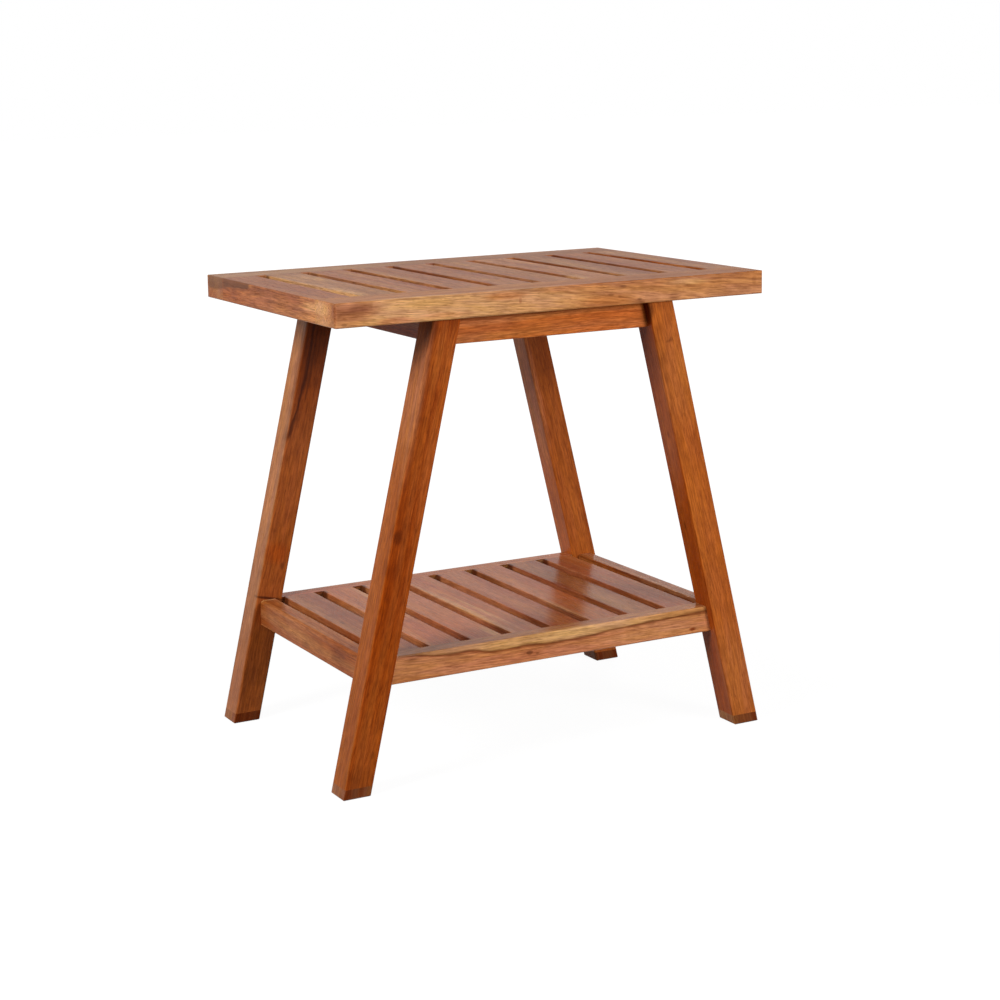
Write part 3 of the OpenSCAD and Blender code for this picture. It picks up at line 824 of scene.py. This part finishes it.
BACK_RIGHT_MARKS = (
    on_back_right("red", 360, 13, 16, 40, 0.4, 0.7, 0.3),
    # Dark heartwood and painted shade under the seat at the top of the front.
    on_back_right("umber", 352, 13, 16, 34, 0.35, 0.7, 0.3),
    inside_right("coral", 320, 132, 16, 96, 0.85, 0.4),
    inside_right("russet", 150, 132, 16, 50, 0.6, 0.5),
    down_back_right("red", ((196, 2.5), (172, 3), (148, 2.5)), 1.2, 0.7),
)
LEG_PITHS = {
    "front_left": (100, 50, 70), "front_right": (1200, -60, 60),
    "back_left": (2200, 55, -50), "back_right": (3100, 45, 60),
}
BACK_LEG_GLOSS = 0.07


def leg_board(place, faces, tones, figure, streaks, gloss, marks):
    """A leg's board, which leans to its own side of the bench."""
    side = LEFT if place.endswith("left") else RIGHT
    return Board(
        faces, "z", LEG_PITHS[place], side * LEG_SPLAY, tones, figure, streaks, gloss, marks=marks,
        light="amber",
    )


LEG_BOARDS = {
    "leg_front_left": leg_board(
        "front_left", ("russet", "red", "red"), (0.99, 0.98, 1.0), 0.85, 0.3, 0.035, FRONT_LEFT_MARKS
    ),
    "leg_front_right": leg_board(
        "front_right", ("red", "orange", "red"), (0.92, 0.97, 1.0), 0.75, 0.25, 0.05, FRONT_RIGHT_MARKS
    ),
    "leg_back_left": leg_board(
        "back_left", ("salmon", "russet", "red"), (0.77, 0.95, 1.0), 0.8, 0.35, BACK_LEG_GLOSS,
        BACK_LEFT_MARKS,
    ),
    "leg_back_right": leg_board(
        "back_right", ("orange", "orange", "red"), (1.1, 0.86, 1.0), 0.8, 0.3, BACK_LEG_GLOSS,
        BACK_RIGHT_MARKS,
    ),
}
FOOT_BOARDS = {
    f"foot_pad_{place}": Board(
        ("brown", "red", "red"), "z", pith, (LEFT if place.endswith("left") else RIGHT) * LEG_SPLAY,
        (0.64, 0.45, 0.46), 0.5, 0.5, roughness=0.45,
    )
    for place, pith in LEG_PITHS.items()
}

APRON_BOARDS = {
    "apron_front": Board(
        ("orange",) * 3, "x", (200, 70, 60), tones=(1, 1.37, 1), figure=0.9, streaks=0.3, gloss=0.035,
        marks=(
            apron_patch("red", -70, 419, 70, 14, 0.3, 0.7, 0.6),
            # Painted shadow of the seat's overhang along the apron's top.
            apron_patch("umber", 0, 435.5, 170, 5.5, 0.5, 0.6, 0.2),
            # Painted shade at the apron's right end, in the corner by the front right leg.
            apron_patch("umber", 108, 422, 9, 16, 0.5, 0.7, 0.2),
        ),
    ),
    "apron_back": Board(("red",) * 3, "x", (1300, -50, 60)),
    "apron_left": Board(("red",) * 3, "y", (2400, 50, 60)),
    "apron_right": Board(("red",) * 3, "y", (3400, 50, -60)),
}

SAPWOOD_EDGE = (
    (-175, 124.5), (-150, 123.5), (-140, 122), (-130, 120.5), (-120, 119.5), (-113, 119), (-95, 119.5),
    (-85, 118.5), (-75, 116.2), (-60, 115), (-40, 115.5), (-35, 116), (-25, 115.5), (-15, 114.5),
    (-8, 114), (10, 114.4), (30, 114.6), (42, 114.9), (52, 116.2), (65, 117.3), (85, 117.8),
    (100, 118.2), (115, 118.6), (135, 119.3), (155, 119.8), (190, 120.4),
)
LOWER_GROWTH_LINE = (
    (-175, 119), (-140, 117), (-110, 114.5), (-80, 112), (-50, 110.5), (-30, 111.5), (0, 109.5), (60, 111),
    (120, 113.5), (170, 115),
)
SHELF_RAIL_MARKS = (
    rail_streak("sapwood", SAPWOOD_EDGE, 0.8, 0.85, ragged=0.1, past=True),
    rail_patch("sapwood", 12, 120, 56, 4.5, 0.9, 0.6),
    rail_patch("beech", 26, 121.5, 40, 3.5, 0.15, 0.7),
    rail_patch("russet", 146, 122.5, 40, 4.5, 0.55, 0.7),
    rail_patch("shade", -95, 125, 80, 1.8, 0.32, 0.7),
    rail_patch("beech", 110, 108, 60, 8, 0.1, 0.8),
    rail_patch("sapwood", 118, 108, 56, 9, 0.14, 0.7),
    rail_patch("brown", -140, 123.5, 36, 3.5, 0.45, 0.6),
    rail_patch("russet", -26, 107.5, 11, 3.6, 0.45, 0.5),
    rail_patch("russet", -96, 108, 40, 6, 0.12, 0.7, 0.9),
    rail_patch("russet", -150, 109, 44, 8, 0.35, 0.7),
    rail_streak("shade", SAPWOOD_EDGE, 1.7, 0.85, ragged=0.1),
    rail_streak("shade", SAPWOOD_EDGE, 0.8, 0.5, 0.6, ragged=0.08),
    rail_patch("umber", -28.5, 108, 2.8, 1.6, 0.6, 0.6, edge=0.4, bulge=1.4),
    rail_patch("umber", -20, 106, 1.8, 1.0, 0.45, 0.6, bulge=0.6),
    rail_patch("red", 157, 104, 3.2, 1.8, 0.9, 0.6),
    rail_patch("shade", 157, 104, 2.8, 1.5, 0.4, 0.6, bulge=0.8),
    rail_streak("shade", LOWER_GROWTH_LINE, 0.9, 0.3),
)

shelf_board = partial(Board, gloss=0.045, roughness=0.2)
SHELF_BOARDS = {
    "shelf_front_rail": shelf_board(
        ("coral", "coral", "salmon"), "x", (400, 50, 60), radians(-2), (1, 0.99, 0.83), 0.8, 0.25,
        marks=SHELF_RAIL_MARKS,
    ),
    "shelf_back_rail": shelf_board(("brown", "red", "copper"), "x", (1400, 50, 60), tones=(1, 0.45, 1)),
    "stretcher_left": Board(
        ("russet",) * 3, "y", (2100, 50, 60), tones=(0.91, 1, 0.95), figure=0.8, streaks=0.3, gloss=0.05,
        marks=(
            Patch("umber", (-197.6, 7, 106), (4, 7, 3), 0.35, 0.6),
            Patch("salmon", (-197.6, 15, 114), (4, 30, 5), 0.35, 0.7),
            Patch("shade", (-197.6, -72, 114), (4, 16, 9), 0.5, 0.7),
            Patch("red", (-197.6, 20, 104), (4, 120, 7), 0.3, 0.7),
            # Painted highlight: the light line along the stretcher's top edge at the back left leg.
            Patch("sapwood", (-189, 117.3, 125), (10, 2.2, 2), 0.6, 0.5),
        ),
    ),
    "stretcher_right": shelf_board(
        ("red", "russet", "brown"), "y", (3600, 50, 60), tones=(0.62, 1, 0.9),
        marks=(Patch("russet", (180, 100, 120), (4, 60, 14), 0.6, 0.6),),
    ),
}
SHELF_SLAT_MARKS = {
    1: (Patch("umber", (-162, -3, 125), (1.6, 4, 2), 0.4),),
    2: (Patch("sapwood", (-96, 45, 126.5), (4, 60, 3), 0.6, 0.5, 0.5),),
    3: (Patch("sapwood", (-53, -108, 126.5), (6, 20, 3), 0.5, 0.5, 0.5),),
    4: (
        Patch("sapwood", (-36, -30, 126.5), (5, 110, 3), 0.5, 0.5, 0.6),
        Patch("sapwood", (-24, -40, 126.5), (3, 70, 3), 0.35, 0.5, 0.6),
    ),
    6: (
        Patch("sapwood", (50, -60, 126.5), (4, 50, 3), 0.4, 0.5, 0.6),
        # Painted shade in the far part of the gap on slat 6's left wall.
        Patch("umber", (48.8, 84, 121), (3, 26, 8), 0.4, 0.6),
    ),
    7: (Patch("sapwood", (104, -70, 126.5), (10, 50, 3), 0.2, 0.6, 0.6),),
}
# Tone of the shelf slats' gap walls, darkened as painted shade inside the narrow gaps.
SHELF_GAP_SHADE = 0.71
SHELF_SLATS_LEFT, SHELF_SLAT_STEP = -170.2, 43.8
SHELF_SLAT_TOPS = (0.63, 0.93, 0.95, 0.89, 0.84, 0.93, 0.65, 0.84)
for number, top in enumerate(SHELF_SLAT_TOPS, 1):
    left = SHELF_SLATS_LEFT + SHELF_SLAT_STEP * (number - 1)
    # Painted shade: darkens the far end of each slat's left gap wall, where the gap meets the back rail.
    far_end_shade = Patch("umber", (left, 117, 121), (3, 7, 8), 0.8, 0.5)
    SHELF_BOARDS[f"shelf_slat_{number}"] = shelf_board(
        ("red" if number == 1 else "copper", "brown", "copper"), "y",
        (900 * number, 30 + 11 * (3 * number % 7), -30 - 12 * (4 * number % 5)),
        tones=(SHELF_GAP_SHADE, 0.9, top), figure=0.65, streaks=0.35,
        marks=(*SHELF_SLAT_MARKS.get(number, ()), far_end_shade),
    )


class BENCH_OT_seat(bpy.types.Operator):
    """Gives the rails, end boards and slats of the seat their timber"""
    bl_idname = "bench.seat"
    bl_label = "Seat boards"

    def execute(self, context):
        return dress(SEAT_BOARDS, context)


class BENCH_OT_legs(bpy.types.Operator):
    """Gives the four legs their timber"""
    bl_idname = "bench.legs"
    bl_label = "Legs"

    def execute(self, context):
        return dress(LEG_BOARDS, context)


class BENCH_OT_feet(bpy.types.Operator):
    """Gives the four foot pads their dark timber"""
    bl_idname = "bench.feet"
    bl_label = "Foot pads"

    def execute(self, context):
        return dress(FOOT_BOARDS, context)


class BENCH_OT_aprons(bpy.types.Operator):
    """Gives the four aprons their timber"""
    bl_idname = "bench.aprons"
    bl_label = "Aprons"

    def execute(self, context):
        return dress(APRON_BOARDS, context)


class BENCH_OT_shelf(bpy.types.Operator):
    """Gives the rails, stretchers and slats of the shelf their timber"""
    bl_idname = "bench.shelf"
    bl_label = "Shelf boards"

    def execute(self, context):
        return dress(SHELF_BOARDS, context)


SCREW_SPOTS = [(x, y) for x in (-66, 0, 66) for y in (-129.5, 129.5)]
SCREW_HEAD, SCREW_SHOULDER, SCREW_THREAD = 416.9, 419.5, 424.5
SCREW_POINT, SCREW_TIP = 444.5, 448.5
SCREW_SIDES, RIM_STEPS = 48, 5
NECK_LENGTH, TIP_SHARE = 0.5, 0.06
SCREW_TURN = radians(37)
RECESS_DEPTH, RECESS_ARM, RECESS_TAPER = 1.9, 0.9, 0.45
THREAD_LEAD, THREAD_SINK, THREAD_STEPS, THREAD_END = 1.0, 0.1, 24, 0.7
TRIANGLE_RISE = 1.5

DOWEL_BOARD = Board(
    ("beech",) * 3, "y", (5200, 60, 40), figure=0.5, streaks=0.1, gloss=0.1, roughness=0.55
)
END_BOARD_MIDDLE, DOWEL_ASIDE, RAIL_JOINT = 210.75, 8.5, 110.5
DOWEL_SPOTS = [
    (side * (END_BOARD_MIDDLE + aside), end * RAIL_JOINT)
    for side in (LEFT, RIGHT) for aside in (-DOWEL_ASIDE, DOWEL_ASIDE) for end in (-1, 1)
]
DOWEL_HEIGHT = 445.75


def start_disc(name, vertices, radius, place, turn=(0, 0, 0)):
    """A flat disc, open for editing with all of it selected."""
    bpy.ops.object.select_all(action="DESELECT")
    bpy.ops.mesh.primitive_circle_add(
        vertices=vertices, radius=radius, fill_type="NGON", location=place, rotation=turn
    )
    disc = bpy.context.object
    disc.name = name
    bpy.ops.object.transform_apply(location=True, rotation=True, scale=True)
    bpy.ops.object.mode_set(mode="EDIT")
    return disc


def draw_out(axis, distance, scale=1.0):
    """Extrudes the selected cap along an axis and then scales it about its own middle."""
    move, size = [0.0] * 3, [scale] * 3
    move["XYZ".index(axis)] = distance
    size["XYZ".index(axis)] = 1.0
    bpy.ops.mesh.extrude_region_move(TRANSFORM_OT_translate={"value": move})
    if scale != 1.0:
        bpy.ops.transform.resize(value=size)


def select_vertices(piece, wanted):
    """Selects the vertices whose place passes a test, in edit mode."""
    bpy.ops.mesh.select_mode(type="VERT")
    bpy.ops.mesh.select_all(action="DESELECT")
    bpy.ops.object.mode_set(mode="OBJECT")
    for vertex in piece.data.vertices:
        vertex.select = wanted(vertex.co)
    bpy.ops.object.mode_set(mode="EDIT")


def finish_mesh(piece, angle):
    """Closes editing: doubles merged, normals outward and smooth but for the sharp edges."""
    bpy.ops.mesh.select_all(action="SELECT")
    bpy.ops.mesh.remove_doubles(threshold=0.001 * MM)
    bpy.ops.mesh.normals_make_consistent(inside=False)
    bpy.ops.object.mode_set(mode="OBJECT")
    bpy.ops.object.shade_smooth_by_angle(angle=angle)


def screw_blank(hardware):
    """Head, shank, core and point of a screw that stands on its head."""
    rim, head = hardware.rim, hardware.head_diameter / 2
    angles = [step * pi / (2 * RIM_STEPS) for step in range(RIM_STEPS + 1)]
    radii = [head - rim * (1 - sin(angle)) for angle in angles]
    heights = [SCREW_HEAD * MM + rim * (1 - cos(angle)) for angle in angles]
    blank = start_disc("seat_screw", SCREW_SIDES, radii[0], (0, 0, heights[0]))
    for step in range(1, RIM_STEPS + 1):
        draw_out("Z", heights[step] - heights[step - 1], radii[step] / radii[step - 1])
    draw_out("Z", SCREW_SHOULDER * MM - heights[-1])
    draw_out("Z", 0.0, hardware.shank_diameter / 2 / head)
    draw_out("Z", (SCREW_THREAD - SCREW_SHOULDER) * MM)
    draw_out("Z", NECK_LENGTH * MM, hardware.core_diameter / hardware.shank_diameter)
    draw_out("Z", (SCREW_POINT - SCREW_THREAD - NECK_LENGTH) * MM)
    draw_out("Z", (SCREW_TIP - SCREW_POINT) * MM, TIP_SHARE)
    finish_mesh(blank, radians(32))
    return blank


def cut_recess(blank, hardware):
    """Sinks the cross recess into the head with one tapered bar each way."""
    for turn in (0, pi / 2):
        bpy.ops.object.select_all(action="DESELECT")
        bpy.ops.mesh.primitive_cube_add(size=1, location=(0, 0, SCREW_HEAD * MM), rotation=(0, 0, turn))
        bar = bpy.context.object
        bar.scale = (hardware.recess_width, RECESS_ARM * MM, 2 * RECESS_DEPTH * MM)
        bpy.ops.object.transform_apply(location=True, rotation=True, scale=True)
        bpy.ops.object.mode_set(mode="EDIT")
        select_vertices(bar, lambda co: co.z > SCREW_HEAD * MM)
        bpy.ops.transform.resize(value=(RECESS_TAPER, RECESS_TAPER, 1))
        bpy.ops.object.mode_set(mode="OBJECT")
        bpy.ops.object.select_all(action="DESELECT")
        blank.select_set(True)
        bpy.context.view_layer.objects.active = blank
        cut = blank.modifiers.new("recess", "BOOLEAN")
        cut.operation = "DIFFERENCE"
        cut.solver = "EXACT"
        cut.object = bar
        bpy.ops.object.modifier_apply(modifier=cut.name)
        bpy.data.objects.remove(bar)


def screw_thread(hardware):
    """Thread drawn as one ridge round the core, which sinks into the core at both its ends."""
    height = (SCREW_THREAD + THREAD_LEAD) * MM
    crest, root = hardware.shank_diameter / 2, hardware.core_diameter / 2 - THREAD_SINK * MM
    radius = (crest - root) / TRIANGLE_RISE
    ridge = start_disc("seat_screw_thread", 3, radius, (crest - radius, 0, height), (pi / 2, pi / 2, 0))
    bpy.ops.mesh.delete(type="ONLY_FACE")
    bpy.ops.object.mode_set(mode="OBJECT")
    wind = ridge.modifiers.new("wind", "SCREW")
    wind.axis = "Z"
    wind.angle = 2 * pi
    wind.screw_offset = hardware.thread_pitch
    wind.iterations = hardware.thread_turns
    wind.steps = wind.render_steps = THREAD_STEPS
    wind.use_smooth_shade = False
    bpy.ops.object.modifier_apply(modifier=wind.name)
    bpy.ops.object.mode_set(mode="EDIT")
    bpy.ops.mesh.select_all(action="SELECT")
    bpy.ops.mesh.fill_holes(sides=3)
    last = height + hardware.thread_pitch * hardware.thread_turns
    for end in (height, last):
        select_vertices(ridge, lambda co: abs(co.y) < 0.01 * MM and co.x > 0 and abs(co.z - end) < MM)
        bpy.ops.transform.resize(value=(THREAD_END, 1, 1), center_override=(0, 0, end))
    finish_mesh(ridge, radians(40))
    return ridge


def place_copies(master, spots, material, node):
    """Sets a copy of the piece, with its own mesh, at each (name, matrix) and removes the master."""
    master.data.materials.append(material)
    for name, matrix in spots:
        piece = bpy.data.objects.new(name, master.data.copy())
        piece.data.name = name
        piece.data.transform(matrix)
        bpy.context.scene.collection.objects.link(piece)
        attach(piece, BODY)
        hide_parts(node)
    bpy.data.objects.remove(master)


def zinc_material(hardware):
    """Zinc plating, dulled in clouds and drawn with the fine turning marks of the blank."""
    material = bpy.data.materials.new("zinc")
    graph = clear_nodes(material)
    here = graph.add("ShaderNodeTexCoord").outputs["Object"]
    cloud = graph.noise(here, 700, 3.0, 0.6)
    rings = graph.noise(graph.vector("MULTIPLY", here, (300, 300, 6000)), 1.0, 2.0, 0.5)
    colour = graph.mix(graph.step(cloud, 0.38, 0.66), hardware.zinc, hardware.dull_zinc)
    bump = graph.add("ShaderNodeBump", {"Height": rings, "Strength": 0.4, "Distance": 0.02 * MM})
    surface = graph.add("ShaderNodeBsdfPrincipled", {
        "Base Color": colour, "Metallic": 1.0, "Roughness": graph.step(cloud, 0.3, 0.7, 0.26, 0.44),
        "Normal": bump.outputs[0],
    })
    graph.add("ShaderNodeOutputMaterial", {"Surface": surface.outputs[0]})
    return material


class BENCH_OT_screws(bpy.types.Operator):
    """Models the six screws that hold the aprons up against the seat rails"""
    bl_idname = "bench.screws"
    bl_label = "Screws"

    def execute(self, context):
        hardware = context.scene.bench_hardware
        blank = screw_blank(hardware)
        cut_recess(blank, hardware)
        ridge = screw_thread(hardware)
        bpy.ops.object.select_all(action="DESELECT")
        ridge.select_set(True)
        blank.select_set(True)
        context.view_layer.objects.active = blank
        bpy.ops.object.join()
        spots = []
        for number, (x, y) in enumerate(SCREW_SPOTS, 1):
            turned = Matrix.Rotation(SCREW_TURN * number, 4, "Z")
            spots.append((f"seat_screw_{number}", Matrix.Translation((x * MM, y * MM, 0)) @ turned))
        place_copies(blank, spots, zinc_material(hardware), "seat_screws")
        return {"FINISHED"}


class BENCH_OT_dowels(bpy.types.Operator):
    """Models the eight fluted dowels that join the seat's rails to its end boards"""
    bl_idname = "bench.dowels"
    bl_label = "Dowels"

    def execute(self, context):
        hardware = context.scene.bench_hardware
        radius, length = hardware.dowel_diameter / 2, hardware.dowel_length
        chamfer, sides = hardware.dowel_chamfer, 3 * hardware.dowel_flutes
        dowel = start_disc("seat_dowel", sides, radius, (0, -length / 2, 0), (pi / 2, 0, 0))
        select_vertices(dowel, lambda co: round(atan2(co.z, co.x) / tau * sides) % 3 == 0)
        deep = 1 - hardware.flute_depth / radius
        bpy.ops.transform.resize(value=(deep, 1, deep))
        bpy.ops.mesh.select_all(action="SELECT")
        narrow = 1 - chamfer / radius
        bpy.ops.transform.resize(value=(narrow, 1, narrow))
        bpy.ops.mesh.select_mode(type="FACE")
        draw_out("Y", chamfer, 1 / narrow)
        draw_out("Y", length - 2 * chamfer)
        draw_out("Y", chamfer, narrow)
        finish_mesh(dowel, radians(12))
        material = board_material("seat_dowels", DOWEL_BOARD, context.scene.bench_timber)
        spots = [
            (f"seat_dowel_{number}", Matrix.Translation((x * MM, y * MM, DOWEL_HEIGHT * MM)))
            for number, (x, y) in enumerate(DOWEL_SPOTS, 1)
        ]
        place_copies(dowel, spots, material, "seat_dowels")
        return {"FINISHED"}


class BENCH_OT_stage(bpy.types.Operator):
    """Sets the floor, the room's light, the soft boxes and the camera"""
    bl_idname = "bench.stage"
    bl_label = "Studio"

    def execute(self, context):
        stage = context.scene.bench_stage
        context.scene.view_settings.view_transform = "Standard"
        make_floor(stage)
        make_room(context.scene, stage)
        make_lamps(stage)
        make_camera(context.scene, stage)
        return {"FINISHED"}


FLOOR_GREY, FLOOR_SEEN_WHITER = 0.25, 0.55
FADE_START, FADE_END, NEAR_GLOW = 0.5, 1.1, 0.88
SOFT_BOX_AIM = (0, 0, 0.3)
SENSOR_WIDTH = 36


def seen_directly(graph):
    """Share of a ray that shows the white background: seen by the camera or mirrored in a gloss."""
    path = graph.add("ShaderNodeLightPath")
    mirrored = graph.math("MAXIMUM", path.outputs["Is Glossy Ray"], path.outputs["Is Transmission Ray"])
    return graph.math("MAXIMUM", path.outputs["Is Camera Ray"], mirrored)


def make_floor(stage):
    """White floor that fades into the background, and that shows the bench's shadow only near it."""
    bpy.ops.object.select_all(action="DESELECT")
    bpy.ops.mesh.primitive_plane_add(size=stage.floor_size, location=(0, 0, 0))
    floor = bpy.context.object
    floor.name = "floor"
    material = bpy.data.materials.new("floor")
    graph = clear_nodes(material)
    seen = seen_directly(graph)
    grey = graph.math("MULTIPLY_ADD", seen, FLOOR_SEEN_WHITER, FLOOR_GREY)
    tint = graph.add("ShaderNodeCombineColor", {0: grey, 1: grey, 2: grey}).outputs[0]
    matt = graph.add("ShaderNodeBsdfDiffuse", {"Color": tint})
    glow = graph.add("ShaderNodeEmission", {"Color": WHITE, "Strength": stage.floor_white})
    away = graph.vector("LENGTH", graph.add("ShaderNodeTexCoord").outputs["Object"])
    share = graph.times(seen, graph.step(away, FADE_START, FADE_END, NEAR_GLOW, 1.0))
    mixed = graph.add("ShaderNodeMixShader", {0: share, 1: matt.outputs[0], 2: glow.outputs[0]})
    graph.add("ShaderNodeOutputMaterial", {"Surface": mixed.outputs[0]})
    floor.data.materials.append(material)


def make_room(scene, stage):
    """Even light from all round, and a white background."""
    scene.world = bpy.data.worlds.new("room")
    graph = clear_nodes(scene.world)
    lit = graph.add("ShaderNodeBackground", {"Color": WHITE, "Strength": stage.room_light})
    white = graph.add("ShaderNodeBackground", {"Color": WHITE, "Strength": 1.0})
    seen = seen_directly(graph)
    mixed = graph.add("ShaderNodeMixShader", {0: seen, 1: lit.outputs[0], 2: white.outputs[0]})
    graph.add("ShaderNodeOutputWorld", {"Surface": mixed.outputs[0]})


def make_soft_box(name, place, size, power):
    lamp = bpy.data.lights.new(name, "AREA")
    lamp.shape = "SQUARE"
    lamp.size = size
    lamp.energy = power
    box = bpy.data.objects.new(name, lamp)
    bpy.context.scene.collection.objects.link(box)
    box.location = place
    box.rotation_euler = (Vector(SOFT_BOX_AIM) - box.location).to_track_quat("-Z", "Y").to_euler()
    return box


def make_lamps(stage):
    """The soft box behind the bench lights its far sides and isn't mirrored in the varnish."""
    make_soft_box("left_soft_box", (-2.33, -0.58, 1.53), 0.8, stage.left_power)
    make_soft_box("front_soft_box", (0.85, -2.35, 1.0), 0.9, stage.front_power)
    make_soft_box("back_soft_box", (1.7, 2.1, 0.8), 0.9, stage.back_power).visible_glossy = False


def make_camera(scene, stage):
    data = bpy.data.cameras.new("camera")
    data.lens = stage.lens
    data.sensor_width = SENSOR_WIDTH
    data.shift_x, data.shift_y = stage.lens_shift
    camera = bpy.data.objects.new("camera", data)
    scene.collection.objects.link(camera)
    turn = (
        Matrix.Rotation(-stage.camera_pan, 4, "Z")
        @ Matrix.Rotation(pi / 2 - stage.camera_tilt, 4, "X")
        @ Matrix.Rotation(stage.camera_roll, 4, "Z")
    )
    camera.matrix_world = Matrix.Translation(stage.camera_place) @ turn
    scene.camera = camera


OPERATORS = (
    BENCH_OT_seat, BENCH_OT_legs, BENCH_OT_feet, BENCH_OT_aprons, BENCH_OT_shelf, BENCH_OT_screws,
    BENCH_OT_dowels, BENCH_OT_stage,
)


class BENCH_PT_panel(bpy.types.Panel):
    """Lists the bench's pieces in the order they are finished"""
    bl_idname = "BENCH_PT_panel"
    bl_label = "Bath Bench"
    bl_space_type = "VIEW_3D"
    bl_region_type = "UI"
    bl_category = "Bench"

    def draw(self, context):
        column = self.layout.column(align=True)
        for operator in OPERATORS:
            column.operator(operator.bl_idname)


CLASSES = (BenchTimberSettings, BenchHardwareSettings, BenchStageSettings, *OPERATORS, BENCH_PT_panel)


def register():
    for item in CLASSES:
        bpy.utils.register_class(item)
    bpy.types.Scene.bench_timber = PointerProperty(type=BenchTimberSettings)
    bpy.types.Scene.bench_hardware = PointerProperty(type=BenchHardwareSettings)
    bpy.types.Scene.bench_stage = PointerProperty(type=BenchStageSettings)


def unregister():
    del bpy.types.Scene.bench_stage
    del bpy.types.Scene.bench_hardware
    del bpy.types.Scene.bench_timber
    for item in reversed(CLASSES):
        bpy.utils.unregister_class(item)


def main():
    register()
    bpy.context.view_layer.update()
    growth_group()
    patch_group()
    trace_group()
    timber_group()
    bpy.ops.bench.seat()
    bpy.ops.bench.legs()
    bpy.ops.bench.feet()
    bpy.ops.bench.aprons()
    bpy.ops.bench.shelf()
    bpy.ops.bench.screws()
    bpy.ops.bench.dowels()
    bpy.ops.bench.stage()


if __name__ == "__main__":
    main()
